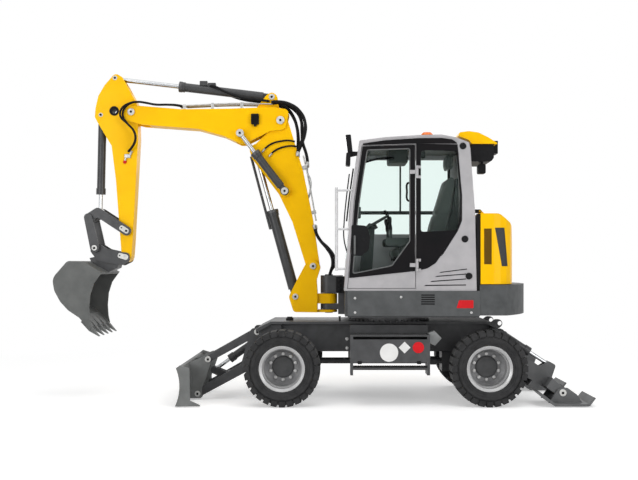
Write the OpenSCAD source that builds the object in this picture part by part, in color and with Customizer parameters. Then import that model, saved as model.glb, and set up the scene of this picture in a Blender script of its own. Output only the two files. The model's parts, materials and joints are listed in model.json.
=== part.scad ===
// Compact wheeled excavator with front blade, rear stabilisers and two-piece boom
// Millimetres, travelling forward along -X, left side at -Y, ground at Z = 0

/* [Wheels and axles] */
// Distance between the axles
wheelbase = 2190; // [1900:10:2500]
// Tyre radius out to the tips of the lugs
tyre_r = 405; // [360:5:450]
// Tyre width
tyre_w = 310; // [250:5:380]
// Distance between the middle planes of the left and right tyres
track = 1640; // [1500:10:1800]
// Height of the lugs
lug_h = 22; // [10:1:35]
// Number of lugs round a tyre
lugs = 28; // [20:1:32]
// Width of a lug round the tyre
lug_w = 64; // [40:1:66]
// Radius of the rim lip
rim_r = 243; // [200:1:270]
// Width of the rim over its lips
rim_w = 260; // [200:5:300]
// Wall thickness of the rim
rim_t = 11; // [6:1:16]
// Radius of the hub cap
hub_r = 117; // [90:1:140]
// Radius of the wheel spindle
spindle_r = 60; // [40:1:80]
// Distance of a kingpin inside the middle plane of its tyre
kingpin_y = 260; // [230:5:300]
// Radius of the drive shaft
shaft_r = 35; // [25:1:50]

/* [Chassis] */
// Height of the underside of the frame
frame_z = 540; // [480:10:600]
// Height of the top plate
deck_z = 876; // [800:2:920]
// Half width of the frame beam
frame_y = 350; // [300:10:400]
// Half width of the top plate
deck_y = 450; // [400:10:500]
// Thickness of the top plate
deck_t = 26; // [15:1:40]
// Outer radius of the slew ring
ring_r = 430; // [380:5:470]
// Height of the fixed half of the slew ring
ring_h = 46; // [30:1:60]
// Distance of the step boxes' outer faces from the middle plane
box_y = 900; // [800:10:960]
// Length of the step boxes
box_len = 844; // [700:2:900]

/* [Blade] */
// Width of the blade
blade_w = 1900; // [1700:10:2100]
// Height of the blade
blade_h = 402; // [350:2:500]
// Length of the blade arms between pins
arm_len = 627; // [550:1:700]
// Angle of the arms below level
arm_drop = 29; // [15:1:35]
// Thickness of the blade arms and links
arm_t = 40; // [20:2:60]
// Distance of the arms from the middle plane
arm_y = 290; // [240:5:330]

/* [Stabilisers] */
// Length of a leg between its pins
leg_len = 730; // [600:5:800]
// Angle of the legs below level
leg_drop = 35; // [20:1:45]
// Distance of the legs' outer faces inside the middle plane of the tyres
leg_y = 210; // [190:5:240]
// Width of a leg beside the wheel
leg_w = 170; // [120:5:190]
// Length of a ground pad
pad_len = 600; // [450:10:640]

/* [Upper structure] */
// Distance of the slew axis from the middle of the length
slew_x = 780; // [700:5:860]
// Height of the underside of the platform
plat_z = 945; // [940:1:1000]
// Height of the cab's underside and of the skirts' tops
cab_z = 1228; // [1180:2:1280]
// Distance of the cab's left face from the middle plane
cab_left = 930; // [880:5:960]
// Distance of the cab's right face from the middle plane
cab_right = 50; // [0:5:120]
// Thickness of the cab walls and of the door
wall = 42; // [30:1:60]
// Thickness of the glass
glass_t = 6; // [4:1:10]
// Swing radius of the tail
tail_r = 1520; // [1400:5:1600]
// Height of the counterweight's top
weight_top = 1292; // [1240:2:1340]
// Height of the engine hood's top
hood_top = 2046; // [1900:2:2100]
// Thickness of the hood and cover panels
panel_t = 30; // [10:1:50]
// Height of the right side cover's top
cover_top = 1780; // [1600:5:1900]

/* [Digging arm] */
// Height of the boom foot pin
foot_z = 1486; // [1400:2:1560]
// Distance of the boom foot pin from the middle of the length
foot_x = -85; // [-150:5:0]
// Distance of the swing axis behind the boom foot pin
swing_back = 180; // [140:5:240]
// Length of the lower boom
boom_len = 1694; // [1500:2:1800]
// Angle of the lower boom in the rest pose
boom_a = 102.6; // [95:0.1:110]
// Length of the upper boom
upper_len = 1694; // [1500:2:1800]
// Angle of the upper boom in the rest pose
upper_a = 176.8; // [170:0.1:184]
// Length of the stick
stick_len = 1648; // [1500:2:1800]
// Angle of the stick in the rest pose
stick_a = 267.7; // [262:0.1:274]
// Half width of lower boom and stick
beam_y = 92; // [80:1:110]
// Thickness of the fork plates
fork_t = 22; // [15:1:30]
// Side gap between a fork and the beam in it
fork_gap = 6; // [5:1:10]
// Width of the bucket
bucket_w = 940; // [700:10:1000]
// Thickness of the bucket's plates
bucket_t = 24; // [15:1:35]
// Number of bucket teeth
teeth = 5; // [3:1:7]

/* [Cylinders] */
// Barrel radius of the boom cylinder
boom_br = 60; // [45:1:70]
// Rod radius of the boom cylinder
boom_rr = 27; // [20:1:35]
// Barrel radius of the positioning cylinders
posi_br = 45; // [35:1:55]
// Rod radius of the positioning cylinders
posi_rr = 24; // [18:1:30]
// Distance of the positioning cylinders from the middle plane
posi_y = 172; // [165:1:200]
// Barrel radius of the stick cylinder
stick_br = 50; // [40:1:60]
// Rod radius of the stick cylinder
stick_rr = 25; // [18:1:32]
// Barrel radius of the bucket cylinder
bucket_br = 46; // [36:1:55]
// Rod radius of the bucket cylinder
bucket_rr = 22; // [16:1:28]
// Barrel radius of the blade and stabiliser cylinders
small_br = 42; // [32:1:50]
// Rod radius of the blade and stabiliser cylinders
small_rr = 21; // [15:1:26]
// Radius of the large pins
pin_r = 30; // [22:1:38]
// Radius of the small pins
pin_s = 24; // [18:1:28]
// Half width of the eyes between two lugs
eye_y = 34; // [25:1:45]
// Side gap beside an eye
eye_gap = 6; // [5:1:10]
// Running clearance round pins and rods
fit = 0.4; // [0.3:0.1:1]

/* [Hidden] */
$fn = 48;
axle_z = tyre_r;
front_x = slew_x - 1175;
rear_x = front_x + wheelbase;
king_y = track / 2 - kingpin_y;
leg_in = track / 2 - leg_y - leg_w;
leg_out = leg_in + leg_w;
foot_out = leg_out + 190;
lug_y = eye_y + eye_gap;
fork_y = beam_y + fork_gap;
swing_x = foot_x + swing_back;
cheek_y = boom_br + 14;
rocker_y = fork_y + fork_t + eye_gap;
link_y = rocker_y + fork_t + eye_gap;

function turn(l, a) = [l.x * cos(a) - l.y * sin(a), l.x * sin(a) + l.y * cos(a)];
function on(p, a, l) = p + turn(l, a);
function unit(v) = v / norm(v);
function dir(v) = atan2(v.y, v.x);
function bend(p, q, s, r) =
    let (a = unit(p - q), b = unit(s - q), h = acos(max(-1, min(1, a * b))) / 2)
    r <= 0 || h > 88 ? [q] :
    let (c = q + unit(a + b) * r / sin(h),
         f = q + a * r / tan(h) - c,
         g = q + b * r / tan(h) - c,
         t = dir(g) - dir(f),
         w = t > 180 ? t - 360 : t < -180 ? t + 360 : t)
    [for (i = [0 : 4]) c + r * [cos(dir(f) + w * i / 4), sin(dir(f) + w * i / 4)]];
function soft(pts) =
    let (n = len(pts))
    [for (i = [0 : n - 1])
        let (p = pts[(i + n - 1) % n], q = pts[i], s = pts[(i + 1) % n])
        each bend([p.x, p.y], [q.x, q.y], [s.x, s.y], len(q) > 2 ? q[2] : 0)];

// Pins of the digging arm in the rest pose
foot = [foot_x, foot_z];
knee = on(foot, boom_a, [boom_len, 0]);
wrist = on(knee, upper_a, [upper_len, 0]);
tip = on(wrist, stick_a, [stick_len, 0]);
boom_base = foot + [-200, -346];
boom_eye = on(foot, boom_a, [1421, 356]);
posi_base = on(foot, boom_a, [895, 126]);
posi_eye = on(knee, upper_a, [443, 179]);
stick_base = on(knee, upper_a, [117, -269]);
stick_eye = on(wrist, stick_a, [-383, -206]);
bucket_base = on(wrist, stick_a, [43, -350]);
rocker_pin = on(wrist, stick_a, [1351, 5]);
rocker_eye = on(wrist, stick_a, [1151, -330]);
rocker_end = on(wrist, stick_a, [1216, -429]);
ear_pin = tip + [-337, 104];

// Pins of blade and stabilisers
arm_pin = [front_x - 422, 371];
link_pin = [front_x - 306, 754];
blade_pin = on(arm_pin, 180 + arm_drop, [arm_len, 0]);
blade_link_pin = link_pin + blade_pin - arm_pin;
lift_base = [front_x - 334, 640];
lift_eye = [front_x - 819, 300];
arm_cross = arm_pin * 0.55 + blade_pin * 0.45;
blade_x = front_x - 1125;
blade_z = 12;
leg_pin = [rear_x + 195, 560];
pad_pin = on(leg_pin, -leg_drop, [leg_len, 0]);
prop_base = [rear_x + 184, 752];
prop_eye = on(leg_pin, -leg_drop, [520, 170]);

module slab(pts, y0, y1) {
    translate([0, y1, 0]) rotate([90, 0, 0]) linear_extrude(height = y1 - y0) polygon(pts);
}
module pair(pts, y0, y1) {
    slab(pts, y0, y1);
    slab(pts, -y1, -y0);
}
module bar(p, r, y0, y1) {
    translate([p.x, y1, p.y]) rotate([90, 0, 0]) cylinder(r = r, h = y1 - y0);
}
module bars(p, r, y0, y1) {
    bar(p, r, y0, y1);
    bar(p, r, -y1, -y0);
}
module place(p, a) {
    translate([p.x, 0, p.y]) rotate([0, -a, 0]) children();
}
module block(a, b) {
    translate(a) cube(b - a);
}
// Flat link between two round ends
function link(p, q, r, s) =
    let (a = dir(q - p), n = 8)
    [for (i = [0 : n]) each [p + r * [cos(a + 90 + 180 * i / n), sin(a + 90 + 180 * i / n)]],
     for (i = [0 : n]) each [q + s * [cos(a - 90 + 180 * i / n), sin(a - 90 + 180 * i / n)]]];

// Cylinder barrel from its base pin along X: eye, neck between the lugs, body and bore
module barrel(len, br, rr, er, ey, pin, start) {
    difference() {
        union() {
            translate([start, 0, 0]) rotate([0, 90, 0]) cylinder(r = br, h = len - start);
            translate([len - 70, 0, 0]) rotate([0, 90, 0]) cylinder(r = br + 8, h = 70);
            bar([0, 0], er, -ey, ey);
            block([0, 4 - ey, -er * 0.75], [start + 4, ey - 4, er * 0.75]);
        }
        bar([0, 0], pin + fit, -ey - 1, ey + 1);
        translate([start + 15, 0, 0]) rotate([0, 90, 0]) cylinder(r = rr + fit, h = len);
    }
}
// Rod that ends in an eye at the far pin
module piston(full, long, rr, er, ey) {
    translate([full - long, 0, 0]) rotate([0, 90, 0]) cylinder(r = rr, h = long - er * 0.5);
    bar([full, 0], er, -ey, ey);
}

// Wheels
module rim_shape() {
    w = rim_w / 2;
    b = rim_r - 21;
    rotate_extrude()
        polygon([[spindle_r + fit, -w - 22], [165, -w - 22], [b - rim_t, -w + 6], [b - 4, -w], [rim_r, -w],
            [rim_r, -w + rim_t], [b, -w + rim_t + 3], [b, -w + 70], [b - 14, -w + 86], [b - 14, w - 96],
            [b, w - 80], [b, w - rim_t - 3], [rim_r, w - rim_t], [rim_r, w], [rim_r - 9, w],
            [b - rim_t, w - 14], [b - rim_t, w - 84], [b - 14 - rim_t, w - 100], [b - 14 - rim_t, -w + 90],
            [b - rim_t - 4, -w + 66], [b - rim_t - 10, -w + 22], [158, -w - 6], [hub_r, -w - 6],
            [hub_r, -w + 8], [hub_r - 14, -w + 14], [0, -w + 14], [0, -w + 2], [spindle_r + fit, -w + 2]]);
}
module tyre_shape() {
    h = tyre_w / 2;
    w = rim_w / 2 - rim_t;
    b = rim_r - 21 + fit;
    s = rim_r + 2;
    c = tyre_r - lug_h;
    edge = sqrt(tyre_r * tyre_r - lug_w * lug_w / 4);
    rotate([0, 0, 180 / lugs]) rotate_extrude($fn = lugs)
        polygon([[b, -w + 4], [s, -w + 3], [s + 1, -w - 13], [c - 64, -h + 1], [c, -h + 50],
            [c, h - 50], [c - 64, h - 1], [s + 1, w + 13], [s, w - 3], [b, w - 4]]);
    for (i = [0 : lugs - 1])
        rotate([90, 0, i * 360 / lugs]) translate([0, 0, -lug_w / 2]) linear_extrude(height = lug_w)
            polygon([[c - 40, -h + 4], [edge, -h + 22], [edge, h - 22], [c - 40, h - 4]]);
}
module wheel_place(x, side) {
    translate([x, side * track / 2, axle_z]) rotate([-90 * side, 0, 0]) children();
}
module rim_front_left() color("silver") wheel_place(front_x, -1) rim_shape();
module rim_front_right() color("silver") wheel_place(front_x, 1) rim_shape();
module rim_rear_left() color("silver") wheel_place(rear_x, -1) rim_shape();
module rim_rear_right() color("silver") wheel_place(rear_x, 1) rim_shape();
module tyre_front_left() color("dimgray") wheel_place(front_x, -1) tyre_shape();
module tyre_front_right() color("dimgray") wheel_place(front_x, 1) tyre_shape();
module tyre_rear_left() color("dimgray") wheel_place(rear_x, -1) tyre_shape();
module tyre_rear_right() color("dimgray") wheel_place(rear_x, 1) tyre_shape();

// Where the hub ends inboard of the wheel disc
hub_y = track / 2 - rim_w / 2 - 22 - 2;
stub_y = track / 2 - rim_w / 2 + 1;
module spindle(side) {
    translate([0, side * (hub_y - 30), 0]) rotate([-90 * side, 0, 0]) cylinder(r = 105, h = 30);
    translate([0, side * (hub_y - 1), 0]) rotate([-90 * side, 0, 0]) cylinder(r = spindle_r, h = stub_y - hub_y + 1);
}
module knuckle(side) {
    translate([front_x, 0, axle_z]) {
        spindle(side);
        difference() {
            union() {
                translate([0, side * king_y, -79]) cylinder(r = 56, h = 158);
                translate([0, side * king_y, 0]) rotate([-90 * side, 0, 0]) cylinder(r = 72, h = hub_y - king_y - 20);
                translate([0, side * king_y - 22, -79]) cube([190, 44, 30]);
            }
            translate([0, side * king_y, -80]) cylinder(r = pin_s + fit, h = 160);
        }
    }
}
module knuckle_left() color("dimgray") knuckle(-1);
module knuckle_right() color("dimgray") knuckle(1);
module tie_rod() color("gray") {
    translate([front_x + 165, -king_y - 20, axle_z - 115]) rotate([-90, 0, 0]) cylinder(r = 17, h = 2 * king_y + 40);
    for (s = [-1, 1])
        translate([front_x + 165, s * king_y, axle_z - 135]) cylinder(r = 26, h = 56 - fit);
}
module front_axle() color("dimgray") {
    k = king_y;
    translate([front_x, 0, axle_z]) {
        difference() {
            union() {
                block([-75, -k + 95, -75], [75, k - 95, 75]);
                for (s = [-1, 1]) {
                    translate([0, s * k, 85]) cylinder(r = 62, h = 32);
                    translate([0, s * k, -117]) cylinder(r = 62, h = 32);
                    block([-62, s > 0 ? k - 115 : -k, 85], [62, s > 0 ? k : -k + 115, 117]);
                    block([-62, s > 0 ? k - 115 : -k, -117], [62, s > 0 ? k : -k + 115, -85]);
                    block([-62, s > 0 ? k - 115 : -k + 85, -117], [62, s > 0 ? k - 85 : -k + 115, 117]);
                }
                rotate([0, 90, 0]) cylinder(r = 134, h = 200, center = true);
                block([-160, -110, 60], [160, 110, frame_z - axle_z]);
            }
            translate([100, 0, 0]) rotate([0, 90, 0]) cylinder(r = shaft_r + fit, h = 200);
        }
        for (s = [-1, 1])
            translate([0, s * k, -116]) cylinder(r = pin_s, h = 232);
    }
}
module rear_axle() color("dimgray") {
    translate([rear_x, 0, axle_z]) {
        difference() {
            union() {
                block([-80, -hub_y + 20, -75], [80, hub_y - 20, 75]);
                translate([-105, 0, 0]) rotate([0, 90, 0]) cylinder(r = 134, h = 165);
                block([-420, -140, -110], [-60, 140, 110]);
                for (s = [-1, 1])
                    block([-110, s * 230 - 60, 60], [60, s * 230 + 60, frame_z - axle_z]);
            }
            translate([-480, 0, 0]) rotate([0, 90, 0]) cylinder(r = shaft_r + fit, h = 120);
        }
        spindle(-1);
        spindle(1);
    }
    drive_shaft();
}
module drive_shaft() {
    translate([front_x + 101, 0, axle_z]) rotate([0, 90, 0]) cylinder(r = shaft_r, h = wheelbase - 102 - 362);
    translate([front_x + 190, 0, axle_z]) rotate([0, 90, 0]) cylinder(r = shaft_r + 14, h = 70);
    translate([rear_x - 540, 0, axle_z]) rotate([0, 90, 0]) cylinder(r = shaft_r + 14, h = 70);
}

// Chassis
tie_eye = [rear_x + 205, 850];
eye_out = 325;
module chassis_frame() color("dimgray") {
    t = deck_z - deck_t;
    f = front_x;
    r = rear_x;
    slab([[f - 60, frame_z], [f - 60, t + 10], [r + 85, t + 10], [r + 85, frame_z]], -frame_y, frame_y);
    difference() {
        union() {
            slab(soft([[f - 341, 780, 20], [f - 150, deck_z, 20], [r + 85, deck_z, 20], [r + 165, 830, 20],
                [r + 165, 790],
                [r + 45, t], [f - 140, t], [f - 295, 760]]), -deck_y, deck_y);
            slab([[f - 35, t + 8], [f - 35, 570], [f - 145, 570], [f - 245, 620], [f - 285, 700],
                [f - 285, 775], [f - 143, t + 8]],
                -deck_y + 60, deck_y - 60);
        }
        // slots for the blade's links
        pair([[f - 405, 690], [f - 405, 900], [f - 245, 900],
            [f - 245, 690]], arm_y - arm_t / 2 - 6, arm_y + arm_t / 2 + 6);
    }
    // front lugs for the blade's arms and links
    for (s = [-1, 1])
        for (d = [-1, 1]) {
            y = s * arm_y + d * (arm_t / 2 + 6 + fork_t / 2);
            slab(soft([[f - 465, 345, 20], [f - 485, 400, 20], [f - 375, 790, 30], [f - 245, 795],
                [f - 55, 700], [f - 55, 580],
                [f - 245, 560], [f - 375, 330, 20]]), y - fork_t / 2, y + fork_t / 2);
        }
    for (s = [-1, 1])
        slab(soft([[f - 380, 600, 20], [f - 380, 690, 20], [f - 225, 725], [f - 205, 590], [f - 295, 580]]),
            s > 0 ? lug_y : -lug_y - fork_t, s > 0 ? lug_y + fork_t : -lug_y);
    // rear cross member with lugs for the stabiliser legs
    slab([[r + 67, 510], [r + 67, 810], [r + 135, 810], [r + 135, 510]], -leg_out - 34, leg_out + 34);
    for (s = [-1, 1])
        for (y = [leg_in - 6 - fork_t, leg_out + 6])
            slab(soft([[r + 125, 515], [r + 235, 500, 35], [r + 260, 560, 35], [r + 235, 780, 35], [r + 125, 795]]),
                s > 0 ? y : -y - fork_t, s > 0 ? y + fork_t : -y);
    for (s = [-1, 1])
        for (d = [-1, 1]) {
            y = s * (leg_in + leg_w / 2) + d * (lug_y + fork_t / 2);
            slab(soft([[r + 125, 700], [r + 195, 700, 30], [r + 230, 750, 30], [r + 195, 805, 30], [r + 125, 795]]),
                y - fork_t / 2, y + fork_t / 2);
        }
    // tie-down eyes
    for (y = [-eye_out, eye_out - 25])
        difference() {
            slab(soft([[r + 105, 860], [r + 150, 895, 40], [r + 205, 895, 45], [r + 250, 850, 44],
                [r + 205, 800, 45], [r + 105, 770]]), y, y + 25);
            bar(tie_eye, 24, y - 1, y + 26);
        }
    for (p = [arm_pin, link_pin])
        bars(p, pin_s, arm_y - arm_t / 2 - 6 - fork_t - 5, arm_y + arm_t / 2 + 6 + fork_t + 5);
    bar(lift_base, pin_s, -lug_y - fork_t - 5, lug_y + fork_t + 5);
    bars(leg_pin, pin_s, leg_in - 6 - fork_t - 5, leg_out + 6 + fork_t + 5);
    bars(prop_base, pin_s, leg_in + leg_w / 2 - lug_y - fork_t - 5, leg_in + leg_w / 2 + lug_y + fork_t + 5);
}
module slew_ring() color("gray") {
    translate([slew_x, 0, deck_z]) difference() {
        cylinder(r = ring_r, h = ring_h, $fn = 96);
        translate([0, 0, -1]) cylinder(r = ring_r - 110, h = ring_h + 2, $fn = 96);
    }
}
module step_box(s) {
    x0 = front_x + tyre_r + (wheelbase - 2 * tyre_r - box_len) * 0.5896;
    x1 = x0 + box_len;
    y0 = s > 0 ? frame_y : -box_y;
    y1 = s > 0 ? box_y : -frame_y;
    block([x0, s > 0 ? y0 : y0, 467], [x1, y1, 713]);
    block([x0, s > 0 ? box_y - 250 : -box_y, 743], [x1, s > 0 ? box_y : -box_y + 250, 761]);
    for (x = [x0, x1 - 30])
        block([x, s > 0 ? box_y - 250 : -box_y, 333], [x + 30, s > 0 ? box_y : -box_y + 250, 761]);
    block([x0, s > 0 ? box_y - 250 : -box_y, 390], [x1, s > 0 ? box_y : -box_y + 250, 412]);
    block([x0, s > 0 ? deck_y : -box_y + 270, 700], [x1, s > 0 ? box_y - 270 : -deck_y, 850]);
}
module step_boxes() color("dimgray") {
    step_box(-1);
    step_box(1);
}

// Blade
module blade_arms() color("dimgray") {
    difference() {
        union() {
            pair(link(arm_pin, blade_pin, 52, 44), arm_y - arm_t / 2, arm_y + arm_t / 2);
            bar(arm_cross, 38, -arm_y, arm_y);
            pair(link(arm_cross, lift_eye, 42, 40), lug_y, lug_y + fork_t);
        }
        bars(arm_pin, pin_s + fit, arm_y - arm_t, arm_y + arm_t);
        bars(blade_pin, pin_s + fit, arm_y - arm_t, arm_y + arm_t);
    }
}
module blade_links() color("dimgray") {
    difference() {
        pair(link(link_pin, blade_link_pin, 40, 36), arm_y - arm_t / 2, arm_y + arm_t / 2);
        bars(link_pin, pin_s + fit, arm_y - arm_t, arm_y + arm_t);
        bars(blade_link_pin, pin_s + fit, arm_y - arm_t, arm_y + arm_t);
    }
}
module blade() color("dimgray") {
    h = blade_h;
    b = 42;
    front = [for (i = [0 : 10]) [blade_x + 10 * i / 10 + 4 * b * (i / 10) * (1 - i / 10), blade_z + h * i / 10]];
    back = [for (i = [10 : -1 : 0]) [blade_x + 40 + 10 * i / 10 + 4 * b * (i / 10) * (1 - i / 10),
        blade_z + h * i / 10]];
    slab(concat(front, back), -blade_w / 2 + 20, blade_w / 2 - 20);
    pair(concat(front, [[blade_x + 50, blade_z + h + 30], [blade_x + 152, blade_z + h], [blade_x + 158, blade_z + 60],
        [blade_x + 262, blade_z + 14], [blade_x + 262, blade_z]]), blade_w / 2 - 20, blade_w / 2);
    for (s = [-1, 1])
        for (d = [-1, 1]) {
            y = s * arm_y + d * (arm_t / 2 + 6 + fork_t / 2);
            slab(soft([[blade_x + 30, blade_z + 4], [blade_x + 60, blade_z + 250], [blade_x + 50, blade_z + h - 10],
                [blade_link_pin.x - 20, blade_link_pin.y + 40, 30], [blade_link_pin.x + 38, blade_link_pin.y + 20, 30],
                [blade_link_pin.x + 30, blade_link_pin.y - 50, 20], [blade_pin.x + 50, blade_pin.y + 60],
                [blade_pin.x + 48, blade_z + 4, 20]]), y - fork_t / 2, y + fork_t / 2);
        }
    bars(blade_pin, pin_s, arm_y - arm_t / 2 - 6 - fork_t, arm_y + arm_t / 2 + 6 + fork_t);
    bars(blade_link_pin, pin_s, arm_y - arm_t / 2 - 6 - fork_t, arm_y + arm_t / 2 + 6 + fork_t);
}
lift_a = dir(lift_eye - lift_base);
lift_len = norm(lift_eye - lift_base);
module blade_barrel() color("dimgray") place(lift_base, lift_a) barrel(380, small_br, small_rr, 38, eye_y, pin_s, 76);
module blade_rod() color("silver") place(lift_base, lift_a) piston(lift_len, 350, small_rr, 36, eye_y);

// Stabilisers
module leg(s) {
    y0 = leg_in;
    y1 = leg_out;
    m = leg_in + leg_w / 2;
    shape = [for (q = [[-50, -40, 35], [-50, 60, 35], [330, 95], [480, 100], [620, 70], [700, 55, 30], [780, 20, 40],
        [770, -50, 40], [690, -60], [300, -85]]) concat(on(leg_pin, -leg_drop, [q.x, q.y]), len(q) > 2 ? q[2] : 0)];
    wide = [for (q = [[560, 60], [700, 52, 30], [780, 15, 40], [765, -48, 40], [700, -56, 20], [560, -50]])
        concat(on(leg_pin, -leg_drop, [q.x, q.y]), len(q) > 2 ? q[2] : 0)];
    lugs = [for (q = [[420, 90], [470, 200, 30], [560, 210, 30], [600, 70]])
        concat(on(leg_pin, -leg_drop, [q.x, q.y]), len(q) > 2 ? q[2] : 0)];
    difference() {
        union() {
            slab(soft(shape), s > 0 ? y0 : -y1, s > 0 ? y1 : -y0);
            slab(soft(wide), s > 0 ? y0 : -foot_out, s > 0 ? foot_out : -y0);
            for (d = [-1, 1])
                slab(soft(lugs), s * m + d * (lug_y + fork_t / 2) - fork_t / 2,
                    s * m + d * (lug_y + fork_t / 2) + fork_t / 2);
        }
        bar(leg_pin, pin_s + fit, s > 0 ? y0 - 1 : -y1 - 1, s > 0 ? y1 + 1 : -y0 + 1);
        bar(pad_pin, pin_s + fit, s > 0 ? y0 - 1 : -foot_out - 1, s > 0 ? foot_out + 1 : -y0 + 1);
    }
}
module pad(s) {
    x0 = pad_pin.x - 290;
    z = 12;
    shape = soft([[x0, 160, 4], [x0 + 20, 168, 4], [x0 + 190, z + 26], [x0 + pad_len - 60, z + 26],
        [x0 + pad_len, z + 95, 4], [x0 + pad_len + 14, z + 85, 4], [x0 + pad_len - 50, z, 20], [x0 + 180, z, 20]]);
    slab(shape, s > 0 ? leg_in - 40 : -foot_out - 145, s > 0 ? foot_out + 145 : -leg_in + 40);
    for (y = [leg_in - 34, foot_out + 6])
        slab(soft([[pad_pin.x - 150, z + 20], [pad_pin.x - 48, pad_pin.y + 40, 30],
            [pad_pin.x + 48, pad_pin.y + 55, 40],
            [pad_pin.x + 150, z + 110, 20], [pad_pin.x + 210, z + 20]]), s > 0 ? y : -y - 28, s > 0 ? y + 28 : -y);
    bar(pad_pin, pin_s, s > 0 ? leg_in - 34 : -foot_out - 34, s > 0 ? foot_out + 34 : -leg_in + 34);
}
module legs() color("dimgray") {
    leg(-1);
    leg(1);
}
module pads() color("dimgray") {
    pad(-1);
    pad(1);
}
prop_a = dir(prop_eye - prop_base);
prop_len = norm(prop_eye - prop_base);
module prop_place(s) translate([0, s * (leg_in + leg_w / 2), 0]) place(prop_base, prop_a) children();
module leg_barrels() color("dimgray") {
    for (s = [-1, 1])
        prop_place(s) barrel(370, small_br, small_rr, 38, eye_y, pin_s, 62);
}
module leg_rods() color("silver") {
    for (s = [-1, 1])
        prop_place(s) piston(prop_len, 340, small_rr, 36, eye_y);
}

// Upper structure
plat_front = 290;
plat_back = 1690;
module platform() color("dimgray") {
    difference() {
        union() {
            block([plat_front + 10, -900, plat_z], [plat_back, 900, plat_z + 40]);
            for (y = [-420, -160, 120, 380])
                block([plat_front + 10, y, plat_z + 40], [plat_back, y + 40, cab_z]);
            translate([slew_x, 0, deck_z + ring_h + fit]) cylinder(r = ring_r - 10, h = 30, $fn = 96);
            translate([slew_x, 0, plat_z - 60]) cylinder(r = ring_r - 116, h = 80, $fn = 96);
            // lugs that carry the swing post
            for (z = [[995, 1056], [1178, 1380]])
                union() {
                    translate([swing_x, 0, z[0]]) cylinder(r = 95, h = z[1] - z[0]);
                    block([swing_x, -95, z[0]], [plat_front - 34, 95, z[1]]);
                }
            translate([swing_x, 0, 952]) cylinder(r = 45, h = 440);
            block([plat_front - 90, -190, plat_z], [plat_front - 34, 190, 1380]);
            block([plat_front - 60, -200, plat_z], [plat_front + 60, 200, cab_z]);
        }
        translate([slew_x, 0, plat_z - 61]) cylinder(r = 180, h = 130);
    }
}
module skirts() color("dimgray") {
    for (s = [-1, 1])
        slab(soft([[plat_front + 10, 966, 12], [plat_front + 5, cab_z], [plat_back, cab_z], [plat_back, 961]]),
            s > 0 ? 900 : -945, s > 0 ? 945 : -900);
    for (s = [-1, 1])
        block([plat_front - 20, s > 0 ? 205 : -905, plat_z + 10], [plat_front + 10, s > 0 ? 905 : -205, cab_z]);
}
module counterweight() color("dimgray") {
    difference() {
        intersection() {
            translate([slew_x, 0, 968]) cylinder(r = tail_r, h = weight_top - 968, $fn = 96);
            block([plat_back, -940, 900], [2400, 940, 1400]);
        }
        block([plat_back, -620, 1060], [2040, 620, 1400]);
    }
}
grille_x0 = 1736;
grille_x1 = 1816;
corner_grille = [[1850, 1895], [1957, 1895], [1995, 1487], [1926, 1487]];
corner_bars = [[1842, 1898], [1965, 1898], [2003, 1484], [1918, 1484]];
module hood_plan(d, h) {
    linear_extrude(height = h)
        polygon(soft([[1700 + (d > 0 ? -5 : 0), -cab_left + d], [2020 - d, -cab_left + d, 220],
            [2105 - d, -500 + d, 300],
            [2120 - d, 0], [2105 - d, 500 - d, 300], [2020 - d, cab_left - d, 220],
                [1700 + (d > 0 ? -5 : 0), cab_left - d]]));
}
module hood_side(d) {
    slab(soft([[1695, 1290], [1695, hood_top - d], [1900 - d, hood_top - d, 90], [2060 - d, 1930 - d, 120],
        [2125 - d, 1600],
        [2125 - d, 1290]]), -1000, 1000);
}
module engine_hood() color("gold") {
    difference() {
        intersection() {
            translate([0, 0, weight_top + 6]) hood_plan(0, hood_top);
            hood_side(0);
            block([1700, -1000, 1200], [2300, 1000, 2200]);
        }
        intersection() {
            translate([0, 0, weight_top - 10]) hood_plan(panel_t, hood_top);
            hood_side(panel_t);
        }
        // side grilles
        block([grille_x0, -1000, 1508], [grille_x1, 1000, 1885]);
        pair(corner_grille, 600, 1000);
        // rear grille
        block([1900, -420, 1420], [2300, 420, 1820]);
    }
    for (z = [1530 : 40 : 1860])
        for (s = [-1, 1])
            block([grille_x0 - 5, s > 0 ? cab_left - panel_t : -cab_left + 8, z],
                [grille_x1 + 5, s > 0 ? cab_left - 8 : -cab_left + panel_t, z + 14]);
    // bars of the grilles round the rear corners
    intersection() {
        difference() {
            translate([0, 0, 1400]) hood_plan(8, 600);
            translate([0, 0, 1390]) hood_plan(panel_t, 620);
        }
        pair(corner_bars, 600, 1000);
        union() {
            for (z = [1512 : 40 : 1880])
                block([1800, -1000, z], [2100, 1000, z + 14]);
        }
    }
    // hinge knuckles
    for (y = [-758, -98]) {
        slab(soft([[1705, hood_top - 10], [1696, hood_top + 20, 14], [1700, hood_top + 44, 14],
            [1725, hood_top + 44, 14],
            [1780, hood_top - 10]]), y, y + 56);
        bar(hood_pin, 9, y - 26, y + 82);
    }
}
module engine() color("gray") {
    block([1740, -420, 1060], [2000, 420, 1700]);
    block([1760, -600, 1130], [1960, -420, 1600]);
    block([1770, 420, 1130], [1960, 560, 1500]);
    translate([1860, 300, 1700]) cylinder(r = 60, h = 250);
}
module side_cover() color("gold") {
    y0 = cab_right + 20;
    difference() {
        slab(soft([[plat_front, cab_z], [plat_front, 1500, 60], [plat_front + 180, 1700, 120],
            [plat_front + 420, cover_top, 120],
            [plat_back - 4, cover_top, 30], [plat_back - 4, cab_z]]), y0, cab_left);
        slab(soft([[plat_front + panel_t, cab_z - 10], [plat_front + panel_t, 1490, 40], [plat_front + 200, 1670, 100],
            [plat_front + 430, cover_top - panel_t, 90], [plat_back - 34, cover_top - panel_t],
                [plat_back - 34, cab_z - 10]]),
            y0 + panel_t, cab_left - panel_t);
    }
}

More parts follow.
